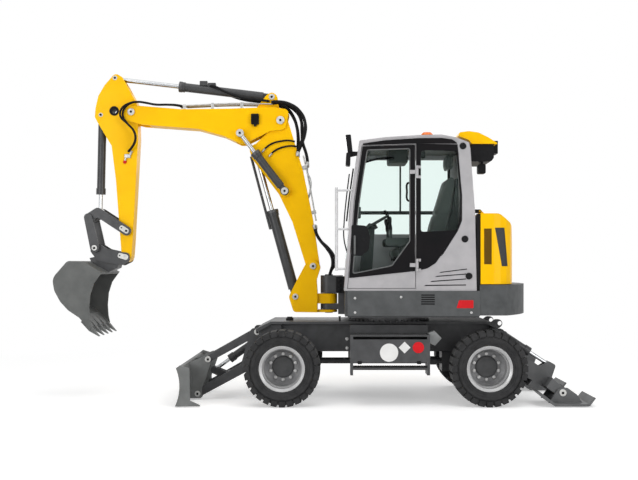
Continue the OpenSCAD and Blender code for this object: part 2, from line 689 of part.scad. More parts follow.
// Cab
cab_roof_z = 2790;
function cab_outline(d) = [[260 + d, cab_z + d], [333 + d, 2185], [417 + d, cab_roof_z], [1578 - d, cab_roof_z],
    [1591 - d, 2726], [1640 - d, 2073], [1658 - d, cab_z + d]];
door_x0 = 300;
door_x1 = 1012;
function door_outline(d) = [[door_x0 + d, 1256 + d], [door_x0 + 70 + d, 2180], [452 + d, 2752 - d],
    [door_x1 - d, 2770 - d],
    [door_x1 - d, 1256 + d]];
function door_pane(d) = soft([[door_x0 + 44 + d, 1402 + d, 20], [door_x0 + 116 + d, 2178], [500 + d, 2718 - d, 20],
    [door_x1 - 52 - d, 2732 - d, 20], [door_x1 - 52 - d, 1750, 40], [766, 1486 + d, 40]]);
function quarter_pane(d) = soft([[1070 + d, 1570 + d, 30], [1070 + d, 2708 - d, 30], [1465 - d, 2712 - d, 30],
    [1500 - d, 2050, 60],
    [1440 - d, 1830 + d, 60], [1290 - d, 1590 + d, 60]]);
function far_pane(d) = soft([[door_x0 + 110 + d, 1850 + d, 30], [door_x0 + 130 + d, 2180], [520 + d, 2700 - d, 30],
    [1460 - d, 2700 - d, 30], [1500 - d, 1850 + d, 30]]);
module front_rear_cut(d, x0, x1, z0, z1) {
    block([x0, -cab_left + 75 + d, z0 + d], [x1, cab_right - 75 - d, z1 - d]);
}
module cab_frame() color("lightgray") {
    y0 = -cab_left;
    y1 = cab_right;
    difference() {
        slab(cab_outline(0), y0, y1);
        slab(concat([for (p = cab_outline(wall)) [p.x, p.y > 2700 ? p.y + 100 : p.y]]), y0 + wall, y1 - wall);
        slab(door_outline(-6), y0 - 10, y0 + wall + 5);
        slab(quarter_pane(0), y0 - 10, y0 + wall + 5);
        slab(far_pane(0), y1 - wall - 5, y1 + 10);
        front_rear_cut(0, 200, 560, 1560, 2730);
        front_rear_cut(0, 1450, 1700, 2120, 2700);
    }
    for (z = [1500, 2480])
        for (d = [-1, 1]) {
            translate([hinge_x, hinge_y, z + d * 52 - 14]) cylinder(r = 16, h = 28);
            block([hinge_x, hinge_y, z + d * 52 - 14], [hinge_x + 40, y0 + 10, z + d * 52 + 14]);
        }
    for (z = [1500, 2480])
        translate([hinge_x, hinge_y, z - 64]) cylinder(r = hinge_pin, h = 128);
}
module roof_body() {
    slab(soft([[417, cab_roof_z], [424, 2815, 15], [700, 2850], [1035, 2872], [1289, 2878, 60],
        [1446, 2847, 60], [1567, 2799, 20],
        [1578, cab_roof_z]]), -cab_left + 12, cab_right - 12);
}
module cab_roof() color("lightgray") roof_body();
module cab_glass() color("lightcyan") {
    y0 = -cab_left;
    y1 = cab_right;
    slab(quarter_pane(0.05), y0 + 10, y0 + 10 + glass_t);
    slab(far_pane(0.05), y1 - 10 - glass_t, y1 - 10);
    intersection() {
        front_rear_cut(0.05, 200, 560, 1560, 2730);
        slab([for (q = [[270, 1500], [343, 2185], [428, 2800], [428 + glass_t, 2800], [343 + glass_t, 2185],
            [270 + glass_t, 1500]]) q],
            y0, y1);
    }
    intersection() {
        front_rear_cut(0.05, 1450, 1700, 2120, 2700);
        slab([[1620, 2073], [1571, 2726], [1571 + glass_t, 2726], [1620 + glass_t, 2073]], y0, y1);
    }
}
hood_pin = [1712, hood_top + 30];
hinge_y = -cab_left - 22;
hinge_pin = 8;
hinge_x = door_x1 + 16;
module cab_door() color("lightgray") {
    y0 = -cab_left;
    difference() {
        slab(door_outline(0), y0, y0 + wall);
        slab(door_pane(0), y0 - 10, y0 + wall + 10);
    }
    for (z = [1500, 2480])
        difference() {
            union() {
                block([door_x1 - 60, hinge_y - 4, z - 20], [door_x1, y0 + 4, z + 20]);
                block([door_x1 - 1, hinge_y - 4, z - 20], [hinge_x, y0 - 5, z + 20]);
                translate([hinge_x, hinge_y, z - 35]) cylinder(r = 16, h = 70);
            }
            translate([hinge_x, hinge_y, z - 36]) cylinder(r = hinge_pin + fit, h = 72);
        }
}
module door_glass() color("lightcyan") slab(door_pane(0.05), -cab_left + 12, -cab_left + 12 + glass_t);
module seat() color("dimgray") {
    ym = -cab_left / 2 - 10;
    slab(soft([[750, 1560, 40], [745, 1690, 50], [1130, 1660, 20], [1211, 1930, 200], [1380, 2480, 40],
        [1470, 2480, 40],
        [1420, 2120, 80], [1300, 1600, 40], [1250, 1560]]), ym - 240, ym + 240);
    slab(soft([[1365, 2520, 30], [1350, 2620, 30], [1372, 2735, 40], [1446, 2735, 40], [1468, 2640, 30],
        [1450, 2520, 30]]),
        ym - 130, ym + 130);
    for (y = [-60, 60])
        translate([1415, ym + y, 2470]) cylinder(r = 9, h = 60);
    block([850, ym - 180, cab_z + wall], [1250, ym + 180, 1559.7]);
}
module controls() color("dimgray") {
    ym = -cab_left / 2 - 10;
    for (s = [-1, 1]) {
        slab(soft([[700, 1700, 30], [700, 1790, 30], [1150, 1790, 30],
            [1150, 1700, 30]]), ym + s * 310 - 50, ym + s * 310 + 50);
        translate([760, ym + s * 310, 1785]) cylinder(r = 16, h = 120);
        block([850, ym + s * 310 - 30, cab_z + wall], [1050, ym + s * 310 + 30, 1705]);
    }
    slab(soft([[420, cab_z + wall], [480, 1900, 40], [540, 1960, 20], [600, 1930, 20],
        [560, cab_z + wall]]), ym - 90, ym + 90);
    translate([590, ym, 1950]) rotate([0, -30, 0]) {
        rotate_extrude() translate([180, 0]) circle(r = 14);
        cylinder(r = 14, h = 30, center = true);
        for (a = [0, 120, 240])
            rotate([0, 0, a]) block([0, -12, -8], [180, 12, 8]);
        translate([0, 0, -60]) cylinder(r = 20, h = 60);
    }
}
module roof_unit() color("gold") {
    slab(soft([[1484, 2884, 12], [1500, 2922, 15], [1600, 2934, 60], [1700, 2920, 60], [1810, 2866, 60],
        [1902, 2806, 6],
        [1902, 2798], [1630, 2798], [1600, 2838]]), -760, -120);
}
module roof_box() {
    slab(soft([[1593, 2700], [1591 + 8.6, 2611], [1840, 2611, 30], [1869, 2650, 20], [1869, 2798],
        [1640, 2798], [1600, 2745]]), -740, -140);
}
module fittings() color("dimgray") {
    roof_box();
    // rear lamp and bracket under and behind the roof unit
    slab(soft([[1706, 2485, 15], [1788, 2485, 15], [1788, 2580, 15], [1760, 2591], [1760, 2615], [1735, 2615],
        [1735, 2591],
        [1706, 2580, 15]]), -700, -590);
    block([1902, -540, 2718], [1944, -340, 2856]);
    // beacon
    difference() {
        translate([1178, -440, 0]) rotate_extrude()
            polygon([[0, 2860], [78, 2860], [78, 2888], [70, 2892], [64, 2940], [48, 2958], [0, 2964]]);
        roof_body();
    }
    // front lamp and mirror on an arm
    difference() {
        union() {
            slab(soft([[296, 2700, 12], [352, 2690, 12], [332, 2880, 12], [274, 2876, 12]]), -905, -800);
            slab(soft([[276, 2556, 14], [326, 2548, 14], [330, 2680, 14], [284, 2690, 14]]), -925, -760);
            slab([[310, 2640], [420, 2665], [420, 2700], [310, 2705]], -880, -850);
        }
        slab(cab_outline(0), -cab_left - 1, cab_right + 1);
    }
    // front hand rail
    translate([180, -cab_left + 30, 1440]) cylinder(r = 16, h = 880);
    difference() {
        union() {
            for (z = [1460, 1880, 2290])
                translate([180, -cab_left + 30, z]) rotate([0, 90, 0]) cylinder(r = 12, h = 300);
            // brackets that carry the hood's hinge
            for (y = [-784, -696, -124, -36])
                slab(soft([[1600, 2058], [1600, 2094], [1725, 2094, 17], [1730, 2076, 17],
                    [1725, 2058, 17]]), y, y + 20);
        }
        slab(cab_outline(0), -cab_left - 1, cab_right + 1);
        bar(hood_pin, 9 + fit, -800, 0);
    }
}

// Digging arm
module swing_post() color("gold") {
    y0 = lug_y;
    f = foot;
    b = boom_base;
    difference() {
        union() {
            for (z = [[961, 990], [1061, 1173]])
                translate([swing_x, 0, z[0]]) cylinder(r = 95, h = z[1] - z[0]);
            slab([[swing_x, 961], [swing_x, 990], [swing_x - 150, 990], [swing_x - 150, 1061],
                [swing_x, 1061], [swing_x, 1173],
                [swing_x - 150, 1173], [swing_x - 260, 1173], [swing_x - 260, 961]], -95, 95);
            pair(soft([[swing_x - 130, 961], [b.x - 20, 965, 40], [b.x - 75, 1140, 60], [b.x + 20, 1330, 80],
                [f.x - 90, 1500, 70],
                [f.x, f.y + 90, 60], [f.x + 90, f.y, 60], [f.x + 40, 1330, 80],
                    [swing_x - 130, 1180, 20]]), fork_y, fork_y + 34);
            pair(soft([[swing_x - 150, 965], [b.x - 20, 965, 40], [b.x - 70, 1140, 60], [b.x, 1215, 60],
                [swing_x - 150, 1173]]),
                lug_y, fork_y + 10);
        }
        translate([swing_x, 0, 900]) cylinder(r = 45 + fit, h = 400);
    }
    bar(b, pin_r, -fork_y - 40, fork_y + 40);
    bar(f, pin_r, -fork_y - 40, fork_y + 40);
}
module lower_boom() color("gold") {
    place(foot, boom_a) difference() {
        union() {
            slab(soft([[-80, -70, 70], [-80, 70, 70], [540, 120], [880, 200, 60], [1340, 410, 60],
                [1480, 420, 60], [1500, 330, 40],
                [1640, 95, 60], [1765, 75, 60], [1765, -75, 60], [1640, -85], [1100, -125],
                    [520, -115]]), -beam_y, beam_y);
            bars([895, 126], 62, beam_y, posi_y - 36);
            bars([895, 126], pin_s, beam_y, posi_y + 40);
        }
        slab([[865, 182], [1180, 150], [1560, 140], [1560, 500], [865, 500]], -cheek_y, cheek_y);
        bar([0, 0], pin_r + fit, -beam_y - 1, beam_y + 1);
        bar([boom_len, 0], pin_r + fit, -beam_y - 1, beam_y + 1);
    }
}
module upper_boom() color("gold") {
    place(knee, upper_a) {
        difference() {
            union() {
                slab(soft([[-95, -125, 50], [90, -146, 60], [585, -100], [1135, -63], [1600, -75, 40],
                    [1790, -60, 60], [1790, 90, 60],
                    [1567, 137], [931, 149], [625, 215], [440, 290, 60], [380, 285, 60], [108, 128], [-60, 100, 60]]),
                    -fork_y - fork_t, fork_y + fork_t);
                pair(soft([[20, -120], [60, -290, 40], [117, -325, 45], [175, -290, 40],
                    [300, -110]]), lug_y, lug_y + fork_t);
            }
            slab([[-200, -300], [150, -300], [150, -100], [330, -100], [330, 140], [458, 140], [510, 360],
                [-200, 360]], -fork_y, fork_y);
            slab([[1325, -300], [1900, -300], [1900, 300], [1480, 300], [1480, 25], [1325, -45]], -fork_y, fork_y);
        }
        bar([0, 0], pin_r, -fork_y - fork_t - 14, fork_y + fork_t + 14);
        bar([upper_len, 0], pin_r, -fork_y - fork_t - 14, fork_y + fork_t + 14);
        pair(soft([[20, -120], [60, -290, 40], [117, -325, 45], [175, -290, 40], [300, -80],
            [150, -80]]), lug_y, lug_y + fork_t);
        bar([117, -269], pin_s, -lug_y - fork_t, lug_y + fork_t);
        bars([443, 179], 55, fork_y + fork_t, posi_y - 36);
    }
}
module stick() color("gold") {
    place(wrist, stick_a) {
        difference() {
            union() {
                slab(soft([[-440, -205, 50], [-400, -130, 40], [-290, -60], [-90, 60, 60], [300, 85],
                    [1500, 68], [1648, 62, 55],
                    [1700, 40, 50], [1705, -50, 50], [1608, -52], [770, -150], [390, -214], [120, -390, 30],
                        [70, -418, 40],
                    [-30, -414], [-170, -388], [-295, -322, 60]]), -beam_y, beam_y);
                bars([1351, 5], pin_s, beam_y - 10, rocker_y + fork_t + 10);
            }
            slab([[-500, -500], [-500, 0], [-230, 0], [-130, -300], [-150, -500]], -lug_y, lug_y);
            slab([[-140, -450], [-100, -270], [330, -230], [330, -500]], -lug_y - 16, lug_y + 16);
            bar([0, 0], pin_r + fit, -beam_y - 1, beam_y + 1);
            bar([stick_len, 0], pin_r + fit, -beam_y - 1, beam_y + 1);
            bar([-7, -200], 50, -beam_y - 1, beam_y + 1);
        }
        bar([43, -350], pin_s, -beam_y, beam_y);
    }
}
module rocker() color("dimgray") {
    c = rocker_pin;
    difference() {
        union() {
            pair(link(c, rocker_eye, 52, 50), rocker_y, rocker_y + fork_t);
            pair(link(rocker_eye, rocker_end, 50, 46), rocker_y, rocker_y + fork_t);
        }
        bars(c, pin_s + fit, rocker_y - 1, rocker_y + fork_t + 1);
    }
    bars(rocker_eye, pin_s, lug_y + 26, rocker_y + 2);
    bars(rocker_end, pin_s, fork_y + 10, rocker_y + 2);
}
module push_link() color("dimgray") {
    difference() {
        pair(link(ear_pin, rocker_end, 50, 46), link_y, link_y + fork_t);
        bars(ear_pin, pin_s + fit, link_y - 1, link_y + fork_t + 1);
    }
}
module hitch() color("dimgray") {
    translate([tip.x, 0, tip.y]) {
        e = ear_pin - tip;
        pair(soft([[e.x - 55, e.y + 20, 30], [e.x + 20, e.y + 60, 30], [e.x + 130, e.y - 10, 40],
            [-60, 60, 30], [40, 48, 40],
            [50, -45, 40], [-50, -95, 30], [e.x + 20, e.y - 144], [e.x - 60, e.y - 40, 30]]), fork_y, fork_y + fork_t);
        slab([[-410, -10], [-390, -56], [-190, -170], [-90, -120], [-80, -60], [-330, 10]], -fork_y - 10, fork_y + 10);
        bar(e, pin_s, -link_y - fork_t - 10, link_y + fork_t + 10);
        bar([0, 0], pin_r, -fork_y - fork_t + 1, fork_y + fork_t - 1);
    }
}
function bucket_back() = [[-190, -170], [-390, -56], [-477, -50, 40], [-564, -40, 60], [-735, -235, 120],
    [-710, -374, 160], [-644, -494, 160],
    [-557, -588, 160], [-437, -668], [-322, -800]];
module bucket() color("gray") {
    w = bucket_w / 2;
    outer = [for (q = bucket_back()) concat([q.x, q.y], len(q) > 2 ? q[2] : 0)];
    mouth = [[-304, -770], [-322, -690], [-330, -560], [-318, -420], [-277, -290]];
    inner = [[-200, -196], [-400, -86], [-475, -76, 30], [-552, -68, 40], [-705, -238, 100],
        [-684, -368, 140], [-622, -476, 140],
        [-540, -566, 140], [-426, -644], [-322, -770]];
    translate([tip.x, 0, tip.y]) {
        difference() {
            slab(concat(soft(outer), mouth), -w, w);
            slab(concat(soft(inner), [[-150, -770], [-150, -196]]), -w + bucket_t, w - bucket_t);
        }
        for (i = [0 : teeth - 1]) {
            y = -w + 45 + (bucket_w - 90) * i / (teeth - 1);
            slab([[-420, -716], [-396, -676], [-316, -762], [-221, -875], [-330, -815]], y - 36, y + 36);
        }
    }
}

// Cylinders of the digging arm
boom_ca = dir(boom_eye - boom_base);
boom_cl = norm(boom_eye - boom_base);
module boom_barrel() color("dimgray") place(boom_base, boom_ca) barrel(1022, boom_br, boom_rr, 58, eye_y, pin_r, 92);
module boom_rod() color("silver") place(boom_base, boom_ca) piston(boom_cl, 1050, boom_rr, 50, cheek_y - eye_gap);
posi_ca = dir(posi_eye - posi_base);
posi_cl = norm(posi_eye - posi_base);
module posi_barrel() color("dimgray") {
    for (s = [-1, 1])
        translate([0, s * posi_y, 0]) place(posi_base, posi_ca) barrel(555, posi_br, posi_rr, 46, 32, pin_s, 70);
}
module posi_rod() color("silver") {
    for (s = [-1, 1])
        translate([0, s * posi_y, 0]) place(posi_base, posi_ca) piston(posi_cl, 570, posi_rr, 44, 32);
}
stick_ca = dir(stick_eye - stick_base);
stick_cl = norm(stick_eye - stick_base);
module stick_barrel() color("dimgray") place(stick_base, stick_ca)
    barrel(1070, stick_br, stick_rr, 48, eye_y, pin_s, 102);
module stick_rod() color("silver") place(stick_base, stick_ca) piston(stick_cl, 1008, stick_rr, 46, eye_y);
bucket_ca = dir(rocker_eye - bucket_base);
bucket_cl = norm(rocker_eye - bucket_base);
module bucket_barrel() color("dimgray") place(bucket_base, bucket_ca)
    barrel(900, bucket_br, bucket_rr, 44, eye_y, pin_s, 60);
module bucket_rod() color("silver") place(bucket_base, bucket_ca) piston(bucket_cl, 940, bucket_rr, 44, eye_y);

// Piece to show

chassis_frame();
slew_ring();
front_axle();
rear_axle();
knuckle_left();
knuckle_right();
tie_rod();
rim_front_left();
rim_front_right();
rim_rear_left();
rim_rear_right();
tyre_front_left();
tyre_front_right();
tyre_rear_left();
tyre_rear_right();
step_boxes();
blade_arms();
blade_links();
blade();
blade_barrel();
blade_rod();
legs();
pads();
leg_barrels();
leg_rods();
platform();
skirts();
counterweight();
engine_hood();
engine();
side_cover();
cab_frame();
cab_roof();
cab_glass();
cab_door();
door_glass();
seat();
controls();
roof_unit();
fittings();
swing_post();
lower_boom();
upper_boom();
stick();
rocker();
push_link();
hitch();
bucket();
boom_barrel();
boom_rod();
posi_barrel();
posi_rod();
stick_barrel();
stick_rod();
bucket_barrel();
bucket_rod();
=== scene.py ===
import json
import math
import bpy
import bmesh
from mathutils import Matrix, Vector
from mathutils.bvhtree import BVHTree
from mathutils.geometry import tessellate_polygon


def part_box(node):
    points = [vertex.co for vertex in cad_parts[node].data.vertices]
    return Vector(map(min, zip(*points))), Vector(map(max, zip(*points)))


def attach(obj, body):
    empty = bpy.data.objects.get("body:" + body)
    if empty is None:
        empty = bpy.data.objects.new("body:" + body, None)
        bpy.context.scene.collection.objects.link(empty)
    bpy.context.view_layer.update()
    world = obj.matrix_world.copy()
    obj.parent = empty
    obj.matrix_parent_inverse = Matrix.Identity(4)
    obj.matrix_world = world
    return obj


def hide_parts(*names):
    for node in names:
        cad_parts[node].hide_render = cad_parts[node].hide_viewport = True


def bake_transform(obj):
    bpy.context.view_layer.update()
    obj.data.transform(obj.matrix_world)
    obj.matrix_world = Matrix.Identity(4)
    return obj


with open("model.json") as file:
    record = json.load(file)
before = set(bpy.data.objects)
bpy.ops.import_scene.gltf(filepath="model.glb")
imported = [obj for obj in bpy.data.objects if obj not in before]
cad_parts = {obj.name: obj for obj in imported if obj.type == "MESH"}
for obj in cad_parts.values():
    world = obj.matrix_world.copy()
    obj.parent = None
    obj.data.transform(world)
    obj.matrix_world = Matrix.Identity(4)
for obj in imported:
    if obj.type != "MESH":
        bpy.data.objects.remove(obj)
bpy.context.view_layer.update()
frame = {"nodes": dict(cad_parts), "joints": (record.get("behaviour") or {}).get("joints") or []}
nodes = frame["nodes"]
scene = bpy.context.scene
scene.view_settings.view_transform = "Standard"
print("frame loaded with", len(nodes), "nodes")

# camera, floor and light
viewSettings = {
    "spot": (0.164, -11.575, 1.532),  # metres, square to the machine's left side
    "lens": 57.0,
    "sensor": 36,
    "farClip": 300,
    "shift": (-0.025, 0.0345),  # the photo's optical axis lies right of and below its middle
}


def makeCamera(settings):
    data = bpy.data.cameras.new("sideCamera")
    data.sensor_width = settings["sensor"]
    data.lens = settings["lens"]
    data.shift_x, data.shift_y = settings["shift"]
    data.clip_end = settings["farClip"]
    camera = bpy.data.objects.new("sideCamera", data)
    camera.location = settings["spot"]
    camera.rotation_euler = (math.radians(90), 0, 0)
    scene.collection.objects.link(camera)
    scene.camera = camera


lightSettings = {
    "overhead": {"spot": (0.5, -2.5, 9.0), "aim": (0.3, 0, 1.0), "size": 9.0, "power": 340},
    "leftFront": {"spot": (-6.5, -8.5, 2.8), "aim": (0, 0, 1.0), "size": 5.0, "power": 350},
    "rightFront": {"spot": (7.5, -8.5, 2.8), "aim": (0, 0, 1.0), "size": 5.0, "power": 330},
    "behind": {"spot": (2.0, 9.0, 6.0), "aim": (0, 0, 1.5), "size": 6.0, "power": 200},
}


def makeLights(settings):
    for name, lamp in settings.items():
        data = bpy.data.lights.new(name, "AREA")
        data.size = lamp["size"]
        data.energy = lamp["power"]
        lampObject = bpy.data.objects.new(name, data)
        lampObject.location = lamp["spot"]
        aim = Vector(lamp["aim"]) - Vector(lamp["spot"])
        lampObject.rotation_euler = aim.to_track_quat("-Z", "Y").to_euler()
        lampObject.visible_camera = False
        lampObject.visible_transmission = False
        scene.collection.objects.link(lampObject)


stageSettings = {"fill": 0.4, "floorGlow": 0.38, "floorTone": 0.9, "fade": (3.2, 7.5), "size": 240}
plainWhite = (1, 1, 1, 1)


def setInputs(node, inputs):
    # each input takes a value or the output of another node
    for socket, value in inputs.items():
        if isinstance(value, bpy.types.NodeSocket):
            node.id_data.links.new(value, node.inputs[socket])
        else:
            node.inputs[socket].default_value = value


def addNode(tree, kind, inputs=None, **settings):
    node = tree.nodes.new(kind)
    for key, value in settings.items():
        setattr(node, key, value)
    setInputs(node, inputs or {})
    return node


def emptyTree(owner):
    owner.use_nodes = True
    owner.node_tree.nodes.clear()
    return owner.node_tree


def objectPlace(tree):
    return addNode(tree, "ShaderNodeTexCoord").outputs["Object"]


def mapRange(tree, value, start=(0, 1), end=(0, 1)):
    inputs = {"Value": value, "From Min": start[0], "From Max": start[1], "To Min": end[0], "To Max": end[1]}
    return addNode(tree, "ShaderNodeMapRange", inputs).outputs["Result"]


def seenRays(tree):
    # 1 for what the camera sees, directly, in gloss or through glass
    rays = addNode(tree, "ShaderNodeLightPath").outputs
    seen = rays["Is Camera Ray"]
    for kind in ("Is Transmission Ray", "Is Glossy Ray"):
        seen = addNode(tree, "ShaderNodeMath", {0: seen, 1: rays[kind]}, operation="MAXIMUM").outputs[0]
    return seen


def mixShaders(tree, share, first, second):
    return addNode(tree, "ShaderNodeMixShader", {0: share, 1: first.outputs[0], 2: second.outputs[0]})


def makeWorld(settings):
    scene.world = bpy.data.worlds.new("studio")
    tree = emptyTree(scene.world)
    fill = addNode(tree, "ShaderNodeBackground", {"Color": plainWhite, "Strength": settings["fill"]})
    backdrop = addNode(tree, "ShaderNodeBackground", {"Color": plainWhite})
    mix = mixShaders(tree, seenRays(tree), fill, backdrop)
    addNode(tree, "ShaderNodeOutputWorld", {0: mix.outputs[0]})


def makeFloor(settings):
    half = settings["size"] / 2
    mesh = bpy.data.meshes.new("floor")
    mesh.from_pydata([(-half, -half, 0), (half, -half, 0), (half, half, 0), (-half, half, 0)], [], [(0, 1, 2, 3)])
    floor = bpy.data.objects.new("floor", mesh)
    scene.collection.objects.link(floor)
    material = bpy.data.materials.new("paleFloor")
    mesh.materials.append(material)
    tree = emptyTree(material)
    seen = seenRays(tree)
    tone = addNode(tree, "ShaderNodeBsdfDiffuse", {"Color": (settings["floorTone"],) * 3 + (1,)})
    glow = addNode(tree, "ShaderNodeEmission", {"Strength": settings["floorGlow"]})
    dark = addNode(tree, "ShaderNodeEmission", {"Strength": 0})
    pick = mixShaders(tree, seen, dark, glow)
    total = addNode(tree, "ShaderNodeAddShader", {0: tone.outputs[0], 1: pick.outputs[0]})
    # away from the machine the floor fades into the white backdrop
    reach = addNode(tree, "ShaderNodeVectorMath", {0: objectPlace(tree)}, operation="LENGTH")
    fade = mapRange(tree, reach.outputs["Value"], settings["fade"])
    both = addNode(tree, "ShaderNodeMath", {0: fade, 1: seen}, operation="MULTIPLY")
    blend = mixShaders(tree, both.outputs[0], total, addNode(tree, "ShaderNodeEmission"))
    addNode(tree, "ShaderNodeOutputMaterial", {0: blend.outputs[0]})


makeCamera(viewSettings)
makeLights(lightSettings)
makeWorld(stageSettings)
makeFloor(stageSettings)
print("stage ready")

# finishes
finishSettings = {
    # tone, deeper tone, roughness, grain scale per metre, bump, coat, metal, edge wear tone
    "yellowPaint": ((0.95, 0.53, 0.001), (0.9, 0.485, 0.001), 0.36, 5, 0.02, 0.05, 0.0, (0.97, 0.6, 0.02)),
    "cabPaint": ((0.42, 0.408, 0.42), (0.365, 0.357, 0.369), 0.32, 7, 0.02, 0.35, 0.0, (0.6, 0.59, 0.6)),
    "skirtPaint": ((0.088, 0.092, 0.094), (0.066, 0.069, 0.071), 0.46, 8, 0.04, 0.1, 0.0, (0.17, 0.175, 0.178)),
    "framePaint": ((0.074, 0.075, 0.078), (0.055, 0.056, 0.058), 0.48, 9, 0.05, 0.1, 0.0, (0.12, 0.12, 0.125)),
    "cylinderPaint": ((0.052, 0.053, 0.055), (0.038, 0.039, 0.041), 0.38, 10, 0.03, 0.2, 0.0, (0.13, 0.13, 0.13)),
    "bucketPaint": ((0.13, 0.134, 0.131), (0.1, 0.104, 0.102), 0.55, 7, 0.06, 0.0, 0.0, (0.22, 0.22, 0.22)),
    "rimPaint": ((0.46, 0.46, 0.46), (0.38, 0.38, 0.385), 0.34, 9, 0.03, 0.2, 0.3, (0.75, 0.75, 0.75)),
    "hubPaint": ((0.098, 0.099, 0.101), (0.075, 0.076, 0.078), 0.5, 12, 0.05, 0.0, 0.0, (0.14, 0.14, 0.14)),
    "tyreRubber": ((0.044, 0.044, 0.045), (0.03, 0.03, 0.031), 0.78, 14, 0.12, 0.0, 0.0, (0.07, 0.07, 0.07)),
    "treadRubber": ((0.09, 0.09, 0.09), (0.06, 0.06, 0.06), 0.85, 14, 0.12, 0.0, 0.0, (0.12, 0.12, 0.12)),
    "bladePaint": ((0.175, 0.18, 0.178), (0.135, 0.14, 0.138), 0.52, 7, 0.06, 0.0, 0.0, (0.27, 0.27, 0.27)),
    "legPaint": ((0.125, 0.127, 0.13), (0.095, 0.097, 0.099), 0.48, 9, 0.05, 0.1, 0.0, (0.2, 0.2, 0.205)),
    "hoseRubber": ((0.013, 0.013, 0.014), (0.008, 0.008, 0.009), 0.5, 60, 0.05, 0.0, 0.0, (0.03, 0.03, 0.03)),
    "blackPlastic": ((0.014, 0.014, 0.015), (0.009, 0.009, 0.01), 0.48, 90, 0.08, 0.0, 0.0, (0.04, 0.04, 0.04)),
    "innerPlastic": ((0.06, 0.07, 0.067), (0.042, 0.049, 0.047), 0.6, 80, 0.08, 0.0, 0.0, (0.07, 0.075, 0.075)),
    "blackGlazing": ((0.007, 0.006, 0.007), (0.005, 0.005, 0.006), 0.12, 5, 0.0, 0.08, 0.0, (0.015, 0.015, 0.016)),
    "castIron": ((0.082, 0.086, 0.088), (0.06, 0.063, 0.065), 0.55, 11, 0.1, 0.0, 0.0, (0.15, 0.15, 0.15)),
    "zincSteel": ((0.46, 0.46, 0.455), (0.32, 0.32, 0.315), 0.34, 25, 0.03, 0.0, 0.9, (0.75, 0.75, 0.75)),
    "chromeRod": ((0.44, 0.45, 0.46), (0.34, 0.35, 0.36), 0.16, 30, 0.0, 0.0, 1.0, (0.8, 0.8, 0.8)),
    "ringSteel": ((0.1, 0.1, 0.102), (0.06, 0.06, 0.062), 0.42, 20, 0.06, 0.0, 0.6, (0.2, 0.2, 0.2)),
    "capWhite": ((0.62, 0.62, 0.6), (0.46, 0.46, 0.45), 0.4, 30, 0.03, 0.0, 0.2, (0.8, 0.8, 0.8)),
    "signWhite": ((0.8, 0.8, 0.79), (0.72, 0.72, 0.71), 0.4, 6, 0.0, 0.0, 0.0, (0.82, 0.82, 0.82)),
    "signRed": ((0.62, 0.012, 0.018), (0.52, 0.01, 0.014), 0.4, 6, 0.0, 0.0, 0.0, (0.66, 0.03, 0.03)),
    "grilleBrown": ((0.4, 0.215, 0.012), (0.3, 0.155, 0.01), 0.6, 30, 0.05, 0.0, 0.2, (0.26, 0.16, 0.03)),
    "grilleDark": ((0.15, 0.155, 0.165), (0.11, 0.115, 0.12), 0.55, 30, 0.05, 0.0, 0.2, (0.1, 0.1, 0.1)),
    "engineGrey": ((0.09, 0.09, 0.092), (0.05, 0.05, 0.052), 0.6, 12, 0.1, 0.0, 0.3, (0.16, 0.16, 0.16)),
    "chockGrey": ((0.34, 0.35, 0.35), (0.28, 0.29, 0.29), 0.6, 20, 0.05, 0.0, 0.0, (0.42, 0.42, 0.42)),
    "dishGrey": ((0.26, 0.26, 0.265), (0.19, 0.19, 0.195), 0.4, 14, 0.04, 0.0, 0.2, (0.34, 0.34, 0.34)),
    "sealGrey": ((0.15, 0.155, 0.155), (0.11, 0.115, 0.115), 0.5, 40, 0.05, 0.0, 0.0, (0.24, 0.24, 0.24)),
    "railGrey": ((0.6, 0.6, 0.61), (0.5, 0.5, 0.51), 0.35, 20, 0.03, 0.2, 0.1, (0.7, 0.7, 0.7)),
    "beaconOrange": ((0.9, 0.2, 0.008), (0.78, 0.15, 0.005), 0.18, 30, 0.05, 0.6, 0.0, (0.95, 0.32, 0.04)),
    "lampPale": ((0.66, 0.68, 0.7), (0.52, 0.54, 0.56), 0.12, 60, 0.1, 0.6, 0.1, (0.8, 0.8, 0.8)),
    "seatCloth": ((0.1, 0.114, 0.108), (0.07, 0.08, 0.076), 0.9, 260, 0.3, 0.0, 0.0, (0.06, 0.065, 0.065)),
}
materials = {}
grainSettings = {
    "deepAt": 0.3, "toneAt": 0.62,  # where the noise turns from the deeper tone to the tone
    "fineTimes": 22, "glossDown": 0.07, "glossUp": 0.1, "relief": 0.004, "coatRough": 0.12,
    "edgeRadius": 0.004, "wear": (0.99, 0.8), "wearMost": 0.55,
    "shine": 0.16, "dullShine": 0.07, "dullBelow": 0.05,  # the darkest tones and the yellow shine less
}


def startMaterial(name):
    material = materials[name] = bpy.data.materials.new(name)
    material.use_nodes = True
    return material.node_tree


def mixTones(tree, share, first, second):
    inputs = {"Factor": share, "A": first, "B": (*second, 1)}
    return addNode(tree, "ShaderNodeMix", inputs, data_type="RGBA").outputs["Result"]


def addNoise(tree, place, scale, detail):
    return addNode(tree, "ShaderNodeTexNoise", {"Vector": place, "Scale": scale, "Detail": detail}).outputs["Fac"]


def addRelief(tree, height, normal, strength, distance):
    inputs = {"Height": height, "Normal": normal, "Strength": strength, "Distance": distance}
    return addNode(tree, "ShaderNodeBump", inputs).outputs["Normal"]


